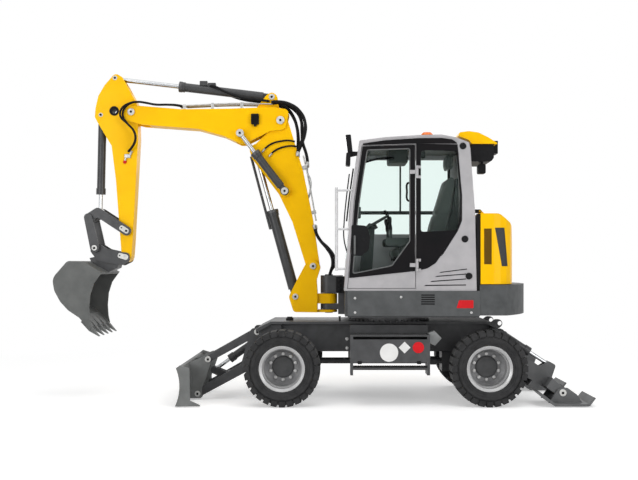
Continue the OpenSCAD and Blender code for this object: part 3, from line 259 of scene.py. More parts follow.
def makeFinish(name, tone, deep, rough, grain, bump, coat, metal, worn):
    look = grainSettings
    tree = startMaterial(name)
    place = objectPlace(tree)
    fine = addNoise(tree, place, grain * look["fineTimes"], 3)
    shade = addNode(tree, "ShaderNodeValToRGB", {"Fac": addNoise(tree, place, grain, 5)})
    darkStep, lightStep = shade.color_ramp.elements
    darkStep.position, darkStep.color = look["deepAt"], (*deep, 1)
    lightStep.position, lightStep.color = look["toneAt"], (*tone, 1)
    # rounded edges, and a lighter tone where they turn
    rounded = addNode(tree, "ShaderNodeBevel", {"Radius": look["edgeRadius"]}, samples=4).outputs["Normal"]
    flat = addNode(tree, "ShaderNodeNewGeometry").outputs["Normal"]
    match = addNode(tree, "ShaderNodeVectorMath", {0: rounded, 1: flat}, operation="DOT_PRODUCT")
    edge = mapRange(tree, match.outputs["Value"], look["wear"], (0, look["wearMost"]))
    glossEnds = (max(0.02, rough - look["glossDown"]), min(1.0, rough + look["glossUp"]))
    dull = max(tone) < look["dullBelow"] or name == "yellowPaint"
    setInputs(tree.nodes["Principled BSDF"], {
        "Base Color": mixTones(tree, edge, shade.outputs["Color"], worn), "Metallic": metal,
        "Roughness": mapRange(tree, fine, end=glossEnds),
        "Normal": addRelief(tree, fine, rounded, bump, look["relief"]),
        "Coat Weight": coat, "Coat Roughness": look["coatRough"],
        "Specular IOR Level": look["dullShine"] if dull else look["shine"]})


for finishName, finish in finishSettings.items():
    makeFinish(finishName, *finish)


patternSettings = {
    # pitch, and the painted shade tone in each perforation
    "shadedHoles": {"grilleBrown": (0.0062, (0.16, 0.085, 0.008)), "grilleDark": (0.007, (0.035, 0.036, 0.04))},
    "holeEdge": (0.62, 0.5),
    "weave": {"seatCloth": 0.006},
    "ribbed": {"lampPale": 0.009},
    "waveLength": 0.314,  # of the wave texture at scale 1
    "sheen": {"Sheen Weight": 0.35, "Sheen Roughness": 0.5},
}


def flatPlace(tree, scale):
    return addNode(tree, "ShaderNodeMapping", {"Vector": objectPlace(tree), "Scale": scale}).outputs["Vector"]


def addShadedHolePattern(name, pitch, holeShadeTone):
    # round spots in even rows, not cut but painted darker than the sheet as the shade seen through a perforated
    # sheet
    tree = materials[name].node_tree
    shader = tree.nodes["Principled BSDF"]
    place = flatPlace(tree, (1 / pitch, 0, 1 / pitch))
    cells = addNode(tree, "ShaderNodeTexVoronoi", {"Vector": place, "Randomness": 0, "Scale": 1})
    # mask of the painted shade: high inside each spot, where the sheet takes the shade tone
    rim = mapRange(tree, cells.outputs["Distance"], patternSettings["holeEdge"])
    sheet = shader.inputs["Base Color"].links[0].from_socket
    setInputs(shader, {"Base Color": mixTones(tree, rim, sheet, holeShadeTone)})


def addBandRelief(name, pitches, strength):
    # crossed bands for a weave, or one set for moulded ribs
    tree = materials[name].node_tree
    shader = tree.nodes["Principled BSDF"]
    for scale in pitches:
        bands = addNode(tree, "ShaderNodeTexWave", {"Vector": flatPlace(tree, scale), "Scale": 1})
        before = shader.inputs["Normal"].links[0].from_socket
        setInputs(shader, {"Normal": addRelief(tree, bands.outputs["Fac"], before, strength, 0.002)})


def addPatterns(settings):
    for name, (pitch, holeShadeTone) in settings["shadedHoles"].items():
        addShadedHolePattern(name, pitch, holeShadeTone)
    for name, pitch in settings["weave"].items():
        turn = settings["waveLength"] / pitch
        addBandRelief(name, [(turn, 0, 0), (0, turn, 0), (0, 0, turn)], 0.35)
        setInputs(materials[name].node_tree.nodes["Principled BSDF"], settings["sheen"])
    for name, pitch in settings["ribbed"].items():
        addBandRelief(name, [(0, settings["waveLength"] / pitch, 0)], 0.6)


addPatterns(patternSettings)

glassSettings = {"tone": (0.9, 0.965, 0.945), "bend": 1.12, "hazeScale": 6, "hazeMost": 0.01}


def makeGlass(name, settings):
    tree = startMaterial(name)
    haze = addNoise(tree, objectPlace(tree), settings["hazeScale"], 2)
    setInputs(tree.nodes["Principled BSDF"], {
        "Base Color": (*settings["tone"], 1), "Transmission Weight": 1, "IOR": settings["bend"],
        "Roughness": mapRange(tree, haze, end=(0, settings["hazeMost"]))})


makeGlass("cabGlass", glassSettings)

nodeFinish = {
    "yellowPaint": "engine_hood side_cover roof_unit swing_post lower_boom upper_boom stick",
    "cabPaint": "cab_frame cab_roof cab_door",
    "skirtPaint": "skirts",
    "framePaint": "chassis_frame front_axle rear_axle knuckle_left knuckle_right step_boxes blade_arms blade_links"
                  " platform rocker push_link hitch",
    "cylinderPaint": "blade_barrel leg_barrels boom_barrel posi_barrel stick_barrel bucket_barrel",
    "bucketPaint": "bucket",
    "bladePaint": "blade",
    "legPaint": "legs pads",
    "castIron": "counterweight",
    "chromeRod": "blade_rod leg_rods boom_rod posi_rod stick_rod bucket_rod",
    "ringSteel": "slew_ring tie_rod",
    "engineGrey": "engine",
    "rimPaint": "rim_front_left rim_front_right rim_rear_left rim_rear_right",
    "tyreRubber": "tyre_front_left tyre_front_right tyre_rear_left tyre_rear_right",
    "cabGlass": "cab_glass door_glass",
    "innerPlastic": "controls",
    "seatCloth": "seat",
    "blackPlastic": "fittings",
}
for finishName, names in nodeFinish.items():
    for nodeName in names.split():
        mesh = nodes[nodeName].data
        mesh.materials.clear()
        mesh.materials.append(materials[finishName])
print("finishes set")

# makers shared by the pieces


def addPiece(name, mesh, body, finish=None):
    piece = bpy.data.objects.new(name, mesh)
    scene.collection.objects.link(piece)
    if finish:
        mesh.materials.clear()
        mesh.materials.append(materials[finish])
    if body:
        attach(piece, body)
    return piece


def meshFrom(name, bm):
    bmesh.ops.remove_doubles(bm, verts=bm.verts, dist=1e-6)
    bmesh.ops.recalc_face_normals(bm, faces=bm.faces)
    mesh = bpy.data.meshes.new(name)
    bm.to_mesh(mesh)
    bm.free()
    return mesh


def addPrism(bm, outline, low, high, soften=0.0):
    # a plate in the XZ plane between two Y values
    made = [bm.verts.new((x, low, z)) for x, z in outline]
    face = bm.faces.new(made)
    grown = bmesh.ops.extrude_face_region(bm, geom=[face])["geom"]
    top = [v for v in grown if isinstance(v, bmesh.types.BMVert)]
    bmesh.ops.translate(bm, verts=top, vec=(0, high - low, 0))
    if soften:
        edges = {e for v in made + top for e in v.link_edges}
        bmesh.ops.bevel(bm, geom=list(edges), offset=soften, segments=2, profile=0.5, affect="EDGES",
                        clamp_overlap=True)


def addBox(bm, low, high, soften=0.0):
    addPrism(bm, [(low[0], low[2]), (high[0], low[2]), (high[0], high[2]), (low[0], high[2])], low[1], high[1],
             soften)


def addTurned(bm, profile, spot, axis, segments=28):
    # (radius, height) pairs turned about an axis through spot
    turnTo = Matrix.Translation(spot) @ Vector(axis).to_track_quat("Z", "Y").to_matrix().to_4x4()
    rings = []
    for radius, height in profile:
        if radius < 1e-6:
            rings.append([bm.verts.new(turnTo @ Vector((0, 0, height)))])
        else:
            rings.append([bm.verts.new(turnTo @ Vector((x, y,
                                                        height))) for x, y in ringPoints((0, 0), radius, segments)])
    for lower, upper in zip(rings, rings[1:]):
        for i in range(segments):
            j = (i + 1) % segments
            corners = [lower[i % len(lower)], lower[j % len(lower)], upper[j % len(upper)], upper[i % len(upper)]]
            unique = list(dict.fromkeys(corners))
            if len(unique) > 2:
                bm.faces.new(unique)


def ringPoints(centre, radius, count, start=0):
    turns = (2 * math.pi * (i + start) / count for i in range(count))
    return [(centre[0] + radius * math.cos(a), centre[1] + radius * math.sin(a)) for a in turns]


def smoothFaces(mesh, angle=35):
    mesh.polygons.foreach_set("use_smooth", [True] * len(mesh.polygons))
    mesh.set_sharp_from_angle(angle=math.radians(angle))


def addSolid(name, bm, body, finish, smooth=False):
    mesh = meshFrom(name, bm)
    if smooth:
        smoothFaces(mesh)
    return addPiece(name, mesh, body, finish)


def startTree(name, inputs):
    tree = bpy.data.node_groups.new(name, "GeometryNodeTree")
    for label, kind in [("Geometry", "Geometry"), *inputs, ("Material", "Material")]:
        tree.interface.new_socket(label, in_out="INPUT", socket_type="NodeSocket" + kind)
    tree.interface.new_socket("Geometry", in_out="OUTPUT", socket_type="NodeSocketGeometry")
    return tree, addNode(tree, "NodeGroupInput").outputs


def endTree(tree, source, solid):
    real = addNode(tree, "GeometryNodeRealizeInstances", {0: solid.outputs[0]})
    paint = addNode(tree, "GeometryNodeSetMaterial", {"Geometry": real.outputs[0], "Material": source["Material"]})
    addNode(tree, "NodeGroupOutput", {0: paint.outputs[0]})
    return tree


def makeHoseTree():
    tree, source = startTree("hoseAlongPath", [("Radius", "Float"), ("Sides", "Int")])
    circle = {"Radius": source["Radius"], "Resolution": source["Sides"]}
    ring = addNode(tree, "GeometryNodeCurvePrimitiveCircle", circle)
    along = {"Curve": source["Geometry"], "Profile Curve": ring.outputs["Curve"], "Fill Caps": True}
    sweep = addNode(tree, "GeometryNodeCurveToMesh", along)
    shade = addNode(tree, "GeometryNodeSetShadeSmooth", {"Geometry": sweep.outputs["Mesh"]})
    return endTree(tree, source, shade)


def putOnPoints(tree, points, solid):
    return addNode(tree, "GeometryNodeInstanceOnPoints", {"Points": points, "Instance": solid.outputs[0]})


def makeBoltTree():
    # a washer and a hexagon head on every point
    inputs = [("Head", "Float"), ("Height", "Float"), ("Washer", "Float"), ("Tilt", "Rotation")]
    tree, source = startTree("boltsOnPoints", inputs)
    thin = addNode(tree, "ShaderNodeMath", {0: source["Height"], 1: 0.7}, operation="MULTIPLY").outputs[0]
    both = addNode(tree, "GeometryNodeJoinGeometry")
    for corners, radius, height in ((6, source["Head"], source["Height"]), (20, source["Washer"], thin)):
        disc = addNode(tree, "GeometryNodeMeshCylinder", {"Vertices": corners, "Radius": radius, "Depth": height})
        setInputs(both, {0: disc.outputs["Mesh"]})
    spread = putOnPoints(tree, source["Geometry"], both)
    setInputs(spread, {"Rotation": source["Tilt"]})
    return endTree(tree, source, spread)


def makeBarTree():
    # an even row of bars from every point, or of studs where the bar is short
    tree, source = startTree("barRow", [("Count", "Int"), ("Step", "Vector"), ("Bar", "Vector")])
    row = addNode(tree, "GeometryNodeMeshLine", {"Count": source["Count"], "Offset": source["Step"]}, mode="OFFSET")
    bar = addNode(tree, "GeometryNodeMeshCube", {"Size": source["Bar"]})
    starts = putOnPoints(tree, source["Geometry"], row)
    flat = addNode(tree, "GeometryNodeRealizeInstances", {0: starts.outputs[0]})
    return endTree(tree, source, putOnPoints(tree, flat.outputs[0], bar))


hoseTree, boltTree, barTree = makeHoseTree(), makeBoltTree(), makeBarTree()


def growMesh(name, carrierData, tree, inputs):
    carrier = bpy.data.objects.new(name + "Carrier", carrierData)
    scene.collection.objects.link(carrier)
    modifier = carrier.modifiers.new("grow", "NODES")
    modifier.node_group = tree
    for item in tree.interface.items_tree:
        if item.item_type == "SOCKET" and item.in_out == "INPUT" and item.name in inputs:
            modifier[item.identifier] = inputs[item.name]
    bpy.context.view_layer.update()
    graph = bpy.context.evaluated_depsgraph_get()
    mesh = bpy.data.meshes.new_from_object(carrier.evaluated_get(graph), preserve_all_data_layers=True,
                                           depsgraph=graph)
    mesh.name = name
    bpy.data.objects.remove(carrier)
    return mesh


def joinMeshes(name, meshes):
    bm = bmesh.new()
    for mesh in meshes:
        bm.from_mesh(mesh)
    whole = bpy.data.meshes.new(name)
    bm.to_mesh(whole)
    bm.free()
    for material in meshes[0].materials:
        whole.materials.append(material)
    return whole


def pathCurve(name, points, closed=False):
    curve = bpy.data.curves.new(name, "CURVE")
    curve.dimensions = "3D"
    curve.resolution_u = 10
    spline = curve.splines.new("BEZIER")
    spline.bezier_points.add(len(points) - 1)
    for knot, point in zip(spline.bezier_points, points):
        knot.co = point
        knot.handle_left_type = knot.handle_right_type = "AUTO"
    spline.use_cyclic_u = closed
    return curve


def addHoses(name, paths, radius, finish, body=None, sides=14, closed=False):
    inputs = {"Radius": radius, "Sides": sides, "Material": materials[finish]}
    meshes = [growMesh(name, pathCurve(name, path, closed), hoseTree, inputs) for path in paths]
    return addPiece(name, joinMeshes(name, meshes), body, None)


def addFerrules(name, ends, radius, body):
    # a pressed sleeve on each hose end: its tip, and the next point along the hose
    bm = bmesh.new()
    thin, neck, wide = radius * 0.8, radius * 1.05, radius * 1.2
    profile = [(0, -0.004), (thin, -0.004), (wide, 0.004), (wide, 0.044), (neck, 0.05), (0, 0.05)]
    for tip, inward in ends:
        addTurned(bm, profile, Vector(tip), Vector(inward) - Vector(tip), 14)
    addSolid(name, bm, body, "zincSteel", smooth=True)


def growOnPoints(name, spots, tree, inputs, body):
    points = bpy.data.meshes.new(name)
    points.from_pydata(spots, [], [])
    addPiece(name, growMesh(name, points, tree, inputs), body, None)


def addBolts(name, spots, tilt, head, height, body, finish="zincSteel", washer=1.5):
    inputs = {"Head": head, "Height": height, "Washer": head * washer, "Tilt": tilt, "Material": materials[finish]}
    growOnPoints(name, spots, boltTree, inputs, body)


def addBars(name, starts, count, step, bar, body, finish):
    inputs = {"Count": count, "Step": step, "Bar": bar, "Material": materials[finish]}
    growOnPoints(name, starts, barTree, inputs, body)


sideways = (math.radians(90), 0, 0)  # a bolt whose axis lies along Y
upright = (0, 0, 0)
pins = {joint["name"]: Vector(joint["pos_m"]) for joint in frame["joints"] if "pos_m" in joint}


def beamPoint(startPin, endPin, along, across, y):
    # a point on a beam between two pins: along it, across it, and its Y
    a, b = pins[startPin], pins[endPin]
    run = Vector((b.x - a.x, 0, b.z - a.z)).normalized()
    side = Vector((-run.z, 0, run.x))
    spot = a + run * along + side * across
    return Vector((spot.x, y, spot.z))


skinTrees = {}


def faceAt(nodeName, x, z, side=-1):
    # Y of a node's outermost surface, seen square from one side
    if nodeName not in skinTrees:
        mesh = nodes[nodeName].data
        skinTrees[nodeName] = BVHTree.FromPolygons([v.co for v in mesh.vertices],
                                                   [list(p.vertices) for p in mesh.polygons])
    hit = skinTrees[nodeName].ray_cast(Vector((x, side * 5, z)), Vector((0, -side, 0)))[0]
    return hit.y if hit else side * 0.1


print("makers ready")

# pin ends of the arm, blade and stabilisers
boomEye, stickEye = (-0.7424, 2.7951), (-2.3364, 3.6248)  # pins of two rods, which no joint names
pinCapSettings = {
    # body: (pin joint or place, half width where the pin ends, cap radius)
    "swing_post": [("boom_lift", 0.138, 0.036), ("boom_barrel_turn", 0.138, 0.034)],
    "lower_boom": [("posi_barrel_turn", 0.212, 0.04), (boomEye, 0.089, 0.026, "flat")],
    "upper_boom": [("boom_adjust", 0.134, 0.046), ("stick_turn", 0.134, 0.04), ("stick_barrel_turn", 0.062, 0.034)],
    "posi_rod": [((-0.907, 2.985), 0.204, 0.04)],
    "stick": [(stickEye, 0.092, 0.026), ("bucket_barrel_turn", 0.092, 0.024)],
    "rocker": [("rocker_turn", 0.158, 0.03)],
    "bucket": [("push_link_turn", 0.186, 0.032), ("bucket_turn", 0.119, 0.034, "flat")],
    "chassis": [("blade_lift", 0.343, 0.03), ("blade_link_turn", 0.343, 0.034), ("leg_lift", 0.643, 0.032)],
    "blade": [("blade_turn", 0.338, 0.032), ((-1.249, 0.45), 0.338, 0.034)],
    "pads": [("pad_turn", 0.834, 0.038)],
}


def makePinCaps(settings):
    for body, caps in settings.items():
        bm = bmesh.new()
        spots = []
        for place, half, radius, *form in caps:
            x, z = (pins[place].x, pins[place].z) if isinstance(place, str) else place
            tall = 0.006 if form else 0.011
            for side in (-1, 1):
                edge = (x, side * (half - 0.003), z)
                addTurned(bm, [(0, 0), (radius, 0), (radius, tall - 0.003), (radius * 0.9, tall), (0, tall)], edge,
                          (0, side, 0))
                if not form:
                    spots.append((x, side * (half + 0.011), z))
        addSolid("pinCaps_" + body, bm, body, "capWhite", smooth=True)
        addBolts("pinBolts_" + body, spots, sideways, 0.01, 0.012, body, "blackPlastic", 1.3)


makePinCaps(pinCapSettings)

# hoses and tubes of the arm
armLineSettings = {
    "tubeRadius": 0.0085,
    "hoseRadius": 0.018,
    # Y, and place across the beam near the knee, where minus is up
    "topTubes": [(-0.075, -0.185), (-0.025, -0.175), (0.025, -0.175), (0.075, -0.185)],
    "topEnd": -0.105,
    "rearTubes": [-0.072, -0.03, 0.014, 0.056],
    "clampHalf": (0.018, 0.088),
    # along the beam, and across it from and to
    "clamps": {"upper_boom": ((0.45, -0.095, -0.187), (0.78, -0.06, -0.16), (1.1, -0.06, -0.126)),
               "lower_boom": ((0.6, -0.1, -0.168), (1.12, -0.11, -0.18))},
}


def onUpper(along, across, y):
    return beamPoint("boom_adjust", "stick_turn", along, across, y)


def onLower(along, across, y):
    return beamPoint("boom_lift", "boom_adjust", along, across, y)


def makeArmLines(settings):
    # steel tubes along the top of the upper boom and down the back of the lower boom
    top = [[onUpper(0.1, near, y), onUpper(0.45, near + 0.012, y), onUpper(1.16, settings["topEnd"], y)]
           for y, near in settings["topTubes"]]
    addHoses("topTubes", top, settings["tubeRadius"], "zincSteel", "upper_boom", 10)
    rear = [[onLower(1.25, -0.165, y), onLower(1.0, -0.165, y), onLower(0.5, -0.145, y)]
            for y in settings["rearTubes"]]
    addHoses("rearTubes", rear, settings["tubeRadius"], "zincSteel", "lower_boom", 10)
    # clamps that hold the tubes to the beams
    thick, wide = settings["clampHalf"]
    for body, beam in (("upper_boom", onUpper), ("lower_boom", onLower)):
        bm = bmesh.new()
        for along, low, high in settings["clamps"][body]:
            corners = [beam(along - thick, low, 0), beam(along + thick, low, 0),
                       beam(along + thick, high, 0), beam(along - thick, high, 0)]
            addPrism(bm, [(c.x, c.z) for c in corners], -wide, wide, 0.004)
        addSolid("tubeClamps_" + body, bm, body, "zincSteel")
    # the bundle that loops behind the knee
    outer = [(-0.56, 3.345), (-0.509, 3.352), (-0.339, 3.32), (-0.222, 3.226), (-0.175, 3.113), (-0.181, 3.0),
             (-0.218, 2.887), (-0.258, 2.785), (-0.262, 2.735)]
    inner = [(-0.56, 3.335), (-0.48, 3.334), (-0.38, 3.285), (-0.31, 3.19), (-0.275, 3.09), (-0.258, 2.962),
             (-0.259, 2.84), (-0.262, 2.735)]
    longer = [(-0.56, 3.34), (-0.433, 3.345), (-0.28, 3.262), (-0.222, 3.15), (-0.212, 3.02), (-0.205, 2.9),
              (-0.166, 2.774), (-0.151, 2.69), (-0.151, 2.623)]
    loops = [[(x, y, z) for x, z in route] for y, route in
             ((-0.108, outer), (-0.066, longer), (-0.024, inner), (0.02, outer), (0.064, longer), (0.106, inner))]
    bundle = addHoses("kneeHoses", loops, settings["hoseRadius"], "hoseRubber")
    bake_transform(bundle)
    addFerrules("kneeFerrules", [(loop[-1], loop[-2]) for loop in loops], settings["hoseRadius"], "lower_boom")
    drop = [(-0.151, 2.64), (-0.15, 2.56), (-0.116, 2.47), (-0.117, 2.37), (-0.14, 2.27), (-0.165, 2.22)]
    drops = [[(x, y, z) for x, z in drop] for y in (-0.066, 0.064)]
    addHoses("boomDrops", drops, settings["tubeRadius"], "zincSteel", "lower_boom", 10)
    # pair beside the stick cylinder
    route = [(-1.265, 0.03, 3.545), (-1.2, 0.06, 3.53), (-1.085, 0.078, 3.469), (-0.895, 0.078, 3.404),
             (-0.7, 0.078, 3.378), (-0.58, 0.07, 3.362)]
    sides = [[(x, side * y, z) for x, y, z in route] for side in (-1, 1)]
    beside = addHoses("stickCylinderHoses", sides, 0.014, "hoseRubber")
    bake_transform(beside)
    # the pair beside the stick's head
    head = []
    for y, out, tube in ((-0.15, 0.0, -0.025), (-0.172, 0.024, -0.075)):
        flank = -0.12 - out / 2
        head.append([onUpper(1.13, -0.107, tube), onUpper(1.2, -0.11, (tube + flank) / 2),
                     onUpper(1.29, -0.104, flank), onUpper(1.42, -0.098, flank), (-1.99, flank, 3.338),
                     (-2.06, flank - 0.01, 3.345), (-2.15, y, 3.326), (-2.222 - out, y, 3.26),
                     (-2.234 - out, y, 3.18), (-2.185, y, 3.1), (-2.11, y, 3.015), (-2.09, y, 2.926),
                     (-2.116, y, 2.85), (-2.18, -0.118, 2.785)])
    pair = addHoses("stickHoses", head, 0.012, "hoseRubber")
    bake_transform(pair)
    # feeds of the positioning cylinders
    lane = -0.104  # between the boom's flank and the cylinder
    feeds = [[(-0.664, lane, 2.78), (-0.62, lane, 2.83), (-0.56, lane, 2.872), (-0.47, lane, 2.9),
              (-0.36, lane, 2.912), (-0.29, -0.1, 2.9)],
             [(-0.585, lane, 2.73), (-0.545, lane, 2.775), (-0.49, lane, 2.812), (-0.42, lane, 2.838),
              (-0.34, lane, 2.85), (-0.27, -0.1, 2.845)]]
    addHoses("cylinderFeeds", feeds, 0.01, "hoseRubber", "lower_boom")
    addFerrules("feedFerrules", [(feed[0], feed[1]) for feed in feeds], 0.01, "lower_boom")
    # hoses between the boom's foot and the swing post
    foot = []
    for i, y in enumerate((-0.115, -0.075, -0.035, 0.005)):
        foot.append([(-0.072 + 0.004 * i, y, 1.955), (-0.048, y, 1.86), (0.0, y, 1.775),
                     (0.07 + 0.006 * i, y - 0.01, 1.69), (0.125 + 0.008 * i, y - 0.015, 1.6),
                     (0.138 + 0.008 * i, y - 0.015, 1.51), (0.118, y * 0.8, 1.43), (0.096, y * 0.6, 1.34),
                     (0.088, y * 0.5, 1.25), (0.086, y * 0.45, 1.165)])
    lowerBundle = addHoses("footHoses", foot, settings["hoseRadius"], "hoseRubber")
    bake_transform(lowerBundle)
    addFerrules("footFerrules", [(path[0], path[1]) for path in foot], settings["hoseRadius"], "lower_boom")


makeArmLines(armLineSettings)
print("arm lines laid")

# boom fittings
boomFittingSettings = {
    "lampSpot": (-0.741, -0.15, 3.15),
    "guardFrom": (-0.795, -0.052, 2.735),
    "guardTo": (-0.575, -0.052, 1.907),
    "grommet": (-2.3455, 0, 3.249),
    "valve": (-2.19, -0.092, 2.735),
    "glands": [("boom_barrel", "boom_barrel_turn", boomEye), ("posi_barrel", "posi_barrel_turn", (-0.9068, 2.985)),
               ("stick_barrel", "stick_barrel_turn", stickEye)],
    "lanes": {"posi_barrel": (-0.172, 0.172)},
}


def makeBoomFittings(settings):
    x, y, z = settings["lampSpot"]
    bm = bmesh.new()
    addBox(bm, (x - 0.045, y - 0.012, z - 0.06), (x + 0.045, y + 0.032, z + 0.06), 0.01)
    addBox(bm, (x - 0.016, y - 0.004, z - 0.082), (x + 0.016, y + 0.03, z - 0.055), 0.004)
    addSolid("boomLamp", bm, "upper_boom", "blackPlastic")
    addBars("boomLampFins", [(x - 0.034, y - 0.015, z)], 6, (0.0136, 0, 0), (0.005, 0.01, 0.096), "upper_boom",
            "blackPlastic")
    # bar that guards the boom cylinder's rod
    a, b = Vector(settings["guardFrom"]), Vector(settings["guardTo"])
    twin = [[a + Vector((0, s, 0)), a.lerp(b, 0.5) + Vector((0, s, 0)), b + Vector((0, s, 0))] for s in (0, 0.104)]
    addHoses("rodGuard", twin, 0.013, "cylinderPaint", "boom_rod", 10)
    # port block on the stick cylinder
    bm = bmesh.new()
    for along, high in ((0.69, 0.036), (0.785, 0.046)):
        spot = beamPoint("stick_barrel_turn", "stickEye", along, 0, 0)
        addBox(bm, (spot.x - 0.045, -0.045, spot.z + 0.04), (spot.x + 0.045, 0.045, spot.z + 0.048 + high), 0.006)
    addSolid("stickPorts", bm, "stick_barrel", "cylinderPaint")
    # hose block before the cab, grommet and hose valve on the stick
    bm = bmesh.new()
    addBox(bm, (0.174, -0.33, 1.19), (0.27, -0.175, 1.372), 0.008)
    for z in (1.225, 1.275, 1.325):
        addTurned(bm, [(0, 0), (0.018, 0), (0.018, 0.012), (0.012, 0.014), (0.012, 0.024), (0, 0.024)],
                  (0.215, -0.328, z), (0, -1, 0), 12)
    addSolid("hoseBlock", bm, "upper", "blackPlastic")
    bm = bmesh.new()
    bore, bush, flange = 0.03, 0.0495, 0.054
    half = [(bore, 0.097), (flange, 0.097), (flange, 0.092), (bush, 0.09)]
    profile = [(radius, -height) for radius, height in half] + half[::-1] + [(bore, -0.097)]
    addTurned(bm, profile, settings["grommet"], (0, 1, 0), 32)
    addSolid("stickGrommet", bm, "stick", "hoseRubber", smooth=True)
    x, y, z = settings["valve"]
    bm = bmesh.new()
    addBox(bm, (x - 0.035, y - 0.026, z - 0.022), (x + 0.035, y + 0.006, z + 0.022), 0.005)
    addTurned(bm, [(0, 0), (0.013, 0), (0.013, 0.03), (0.017, 0.032), (0.017, 0.05), (0, 0.05)],
              (x + 0.028, y - 0.01, z + 0.012), (0.35, 0, 1), 14)
    addTurned(bm, [(0, 0), (0.011, 0), (0.011, 0.04), (0, 0.04)], (x - 0.02, y - 0.01, z - 0.015), (-0.25, 0, -1),
              14)
    addSolid("stickValve", bm, "stick", "zincSteel")
    bm = bmesh.new()
    addTurned(bm, [(0, 0), (0.019, 0), (0.019, 0.022), (0.012, 0.034), (0, 0.034)],
              (x - 0.029, y - 0.01, z - 0.052), (-0.25, 0, -1), 16)
    addSolid("valveCap", bm, "stick", "signRed")
    # glands at the rod ends of the cylinders
    for barrel, pin, eye in settings["glands"]:
        start = Vector((pins[pin].x, 0, pins[pin].z))
        run = (Vector((eye[0], 0, eye[1])) - start).normalized()
        spots = [v.co for v in nodes[barrel].data.vertices]
        length = max((spot - start).dot(run) for spot in spots)
        for y in settings["lanes"].get(barrel, (0,)):
            lane = [spot for spot in spots
                    if abs(spot.y - y) < 0.11 and abs((spot - start).dot(run) - length) < 0.004]
            middle = start + run * length + Vector((0, y, 0))
            radius = max((spot - middle - run * (spot - middle).dot(run)).length for spot in lane)
            bm = bmesh.new()
            inner, outer = radius + 0.0008, radius + 0.0035
            profile = [(inner, -0.036), (outer, -0.034), (outer, -0.003), (inner, -0.001), (inner, -0.036)]
            addTurned(bm, profile, middle, run, 32)
            addSolid("gland_" + barrel + ("_far" if y > 0.05 else ""), bm, barrel, "ringSteel",
                     smooth=True)


pins["stickEye"] = Vector((stickEye[0], 0, stickEye[1]))
makeBoomFittings(boomFittingSettings)

# glazing borders and trim of the cab
cabFace = -0.93
glazingSettings = {
    "lift": 0.004,  # how far the printed glass stands proud
    "door": [(0.312, 1.362, 0.012), (0.374, 2.18), (0.455, 2.75, 0.012), (1.008, 2.768, 0.012),
             (1.008, 1.436, 0.004)],
    "doorPane": [(0.346, 1.404, 0.02), (0.418, 2.178), (0.502, 2.716, 0.02), (0.958, 2.73, 0.02),
                 (0.958, 1.75, 0.04), (0.766, 1.488, 0.04)],
    "quarter": [(1.02, 1.438), (1.137, 1.464, 0.08), (1.226, 1.521, 0.06), (1.456, 1.853, 0.08),
                (1.503, 1.968, 0.06), (1.503, 2.237), (1.456, 2.772), (1.02, 2.78)],
    "quarterPane": [(1.07, 1.85, 0.03), (1.448, 1.868, 0.03), (1.484, 2.02, 0.04), (1.482, 2.24),
                    (1.444, 2.705, 0.03), (1.07, 2.705, 0.03)],
    "header": [(0.455, 2.762), (0.462, 2.782, 0.008), (0.7, 2.816, 0.2), (1.035, 2.837, 0.2), (1.289, 2.84, 0.08),
               (1.4, 2.824, 0.06), (1.448, 2.79, 0.01), (1.448, 2.778), (1.014, 2.78)],
    "latchPanel": [(0.33, 1.6, 0.03), (0.34, 1.925, 0.02), (0.5, 1.915, 0.05), (0.536, 1.8, 0.06),
                   (0.52, 1.66, 0.06), (0.44, 1.595, 0.04)],
}


def roundOutline(corners, steps=5):
    # corners are (x, z) or (x, z, radius)
    outline = []
    for i, corner in enumerate(corners):
        here = Vector(corner[:2])
        if len(corner) < 3:
            outline.append(tuple(here))
            continue
        before = (Vector(corners[i - 1][:2]) - here).normalized()
        after = (Vector(corners[(i + 1) % len(corners)][:2]) - here).normalized()
        reach = corner[2] / math.tan(before.angle(after) / 2)
        start, end = here + before * reach, here + after * reach
        for t in (k / steps for k in range(steps + 1)):
            outline.append(tuple(start * (1 - t) ** 2 + here * 2 * t * (1 - t) + end * t * t))
    return outline


def addRingPlate(name, outer, inner, low, high, body, finish):
    # a plate with one opening
    loops = [[Vector((x, low, z)) for x, z in outline] for outline in (outer, inner)]
    bm = bmesh.new()
    made = [bm.verts.new(spot) for loop in loops for spot in loop]
    for corners in tessellate_polygon(loops):
        bm.faces.new([made[i] for i in corners])
    grown = bmesh.ops.extrude_face_region(bm, geom=list(bm.faces))["geom"]
    bmesh.ops.translate(bm, verts=[v for v in grown if isinstance(v, bmesh.types.BMVert)], vec=(0, high - low, 0))
    addSolid(name, bm, body, finish)


def makeGlazing(settings):
    front = cabFace - settings["lift"]
    outlines = {name: roundOutline(corners) for name, corners in settings.items() if name != "lift"}
    for name, body in (("door", "door"), ("quarter", "upper")):
        addRingPlate(name + "Glazing", outlines[name], outlines[name + "Pane"], front, cabFace + 0.001, body,
                     "blackGlazing")
    bm = bmesh.new()
    addPrism(bm, outlines["header"], front, -0.9175)
    addSolid("headerGlazing", bm, "upper", "blackGlazing")
    # grey seal round the door's pane, and the latch panel inside it
    paneX, paneZ = 0.65, 2.1  # the pane's middle, which the seal shrinks towards
    seal = [(x + (paneX - x) * 0.02, cabFace - 0.003, z + (paneZ - z) * 0.008) for x, z in outlines["doorPane"]]
    addHoses("doorSeal", [seal], 0.0065, "sealGrey", "door", 8, closed=True)
    bm = bmesh.new()
    addPrism(bm, outlines["latchPanel"], cabFace - 0.01, cabFace + 0.016, 0.003)
    addTurned(bm, [(0, 0), (0.02, 0), (0.02, 0.004), (0.014, 0.007), (0, 0.006)], (0.459, cabFace - 0.009, 1.764),
              (0, -1, 0), 20)
    addSolid("latchPanel", bm, "door", "blackPlastic")
    bow = ((0.006, 1.805), (0.024, 1.775), (0.028, 1.71), (0.024, 1.645), (0.006, 1.615))
    grip = [(0.372, cabFace - out, z) for out, z in bow]
    addHoses("doorGrip", [grip], 0.011, "sealGrey", "door", 12)


makeGlazing(glazingSettings)

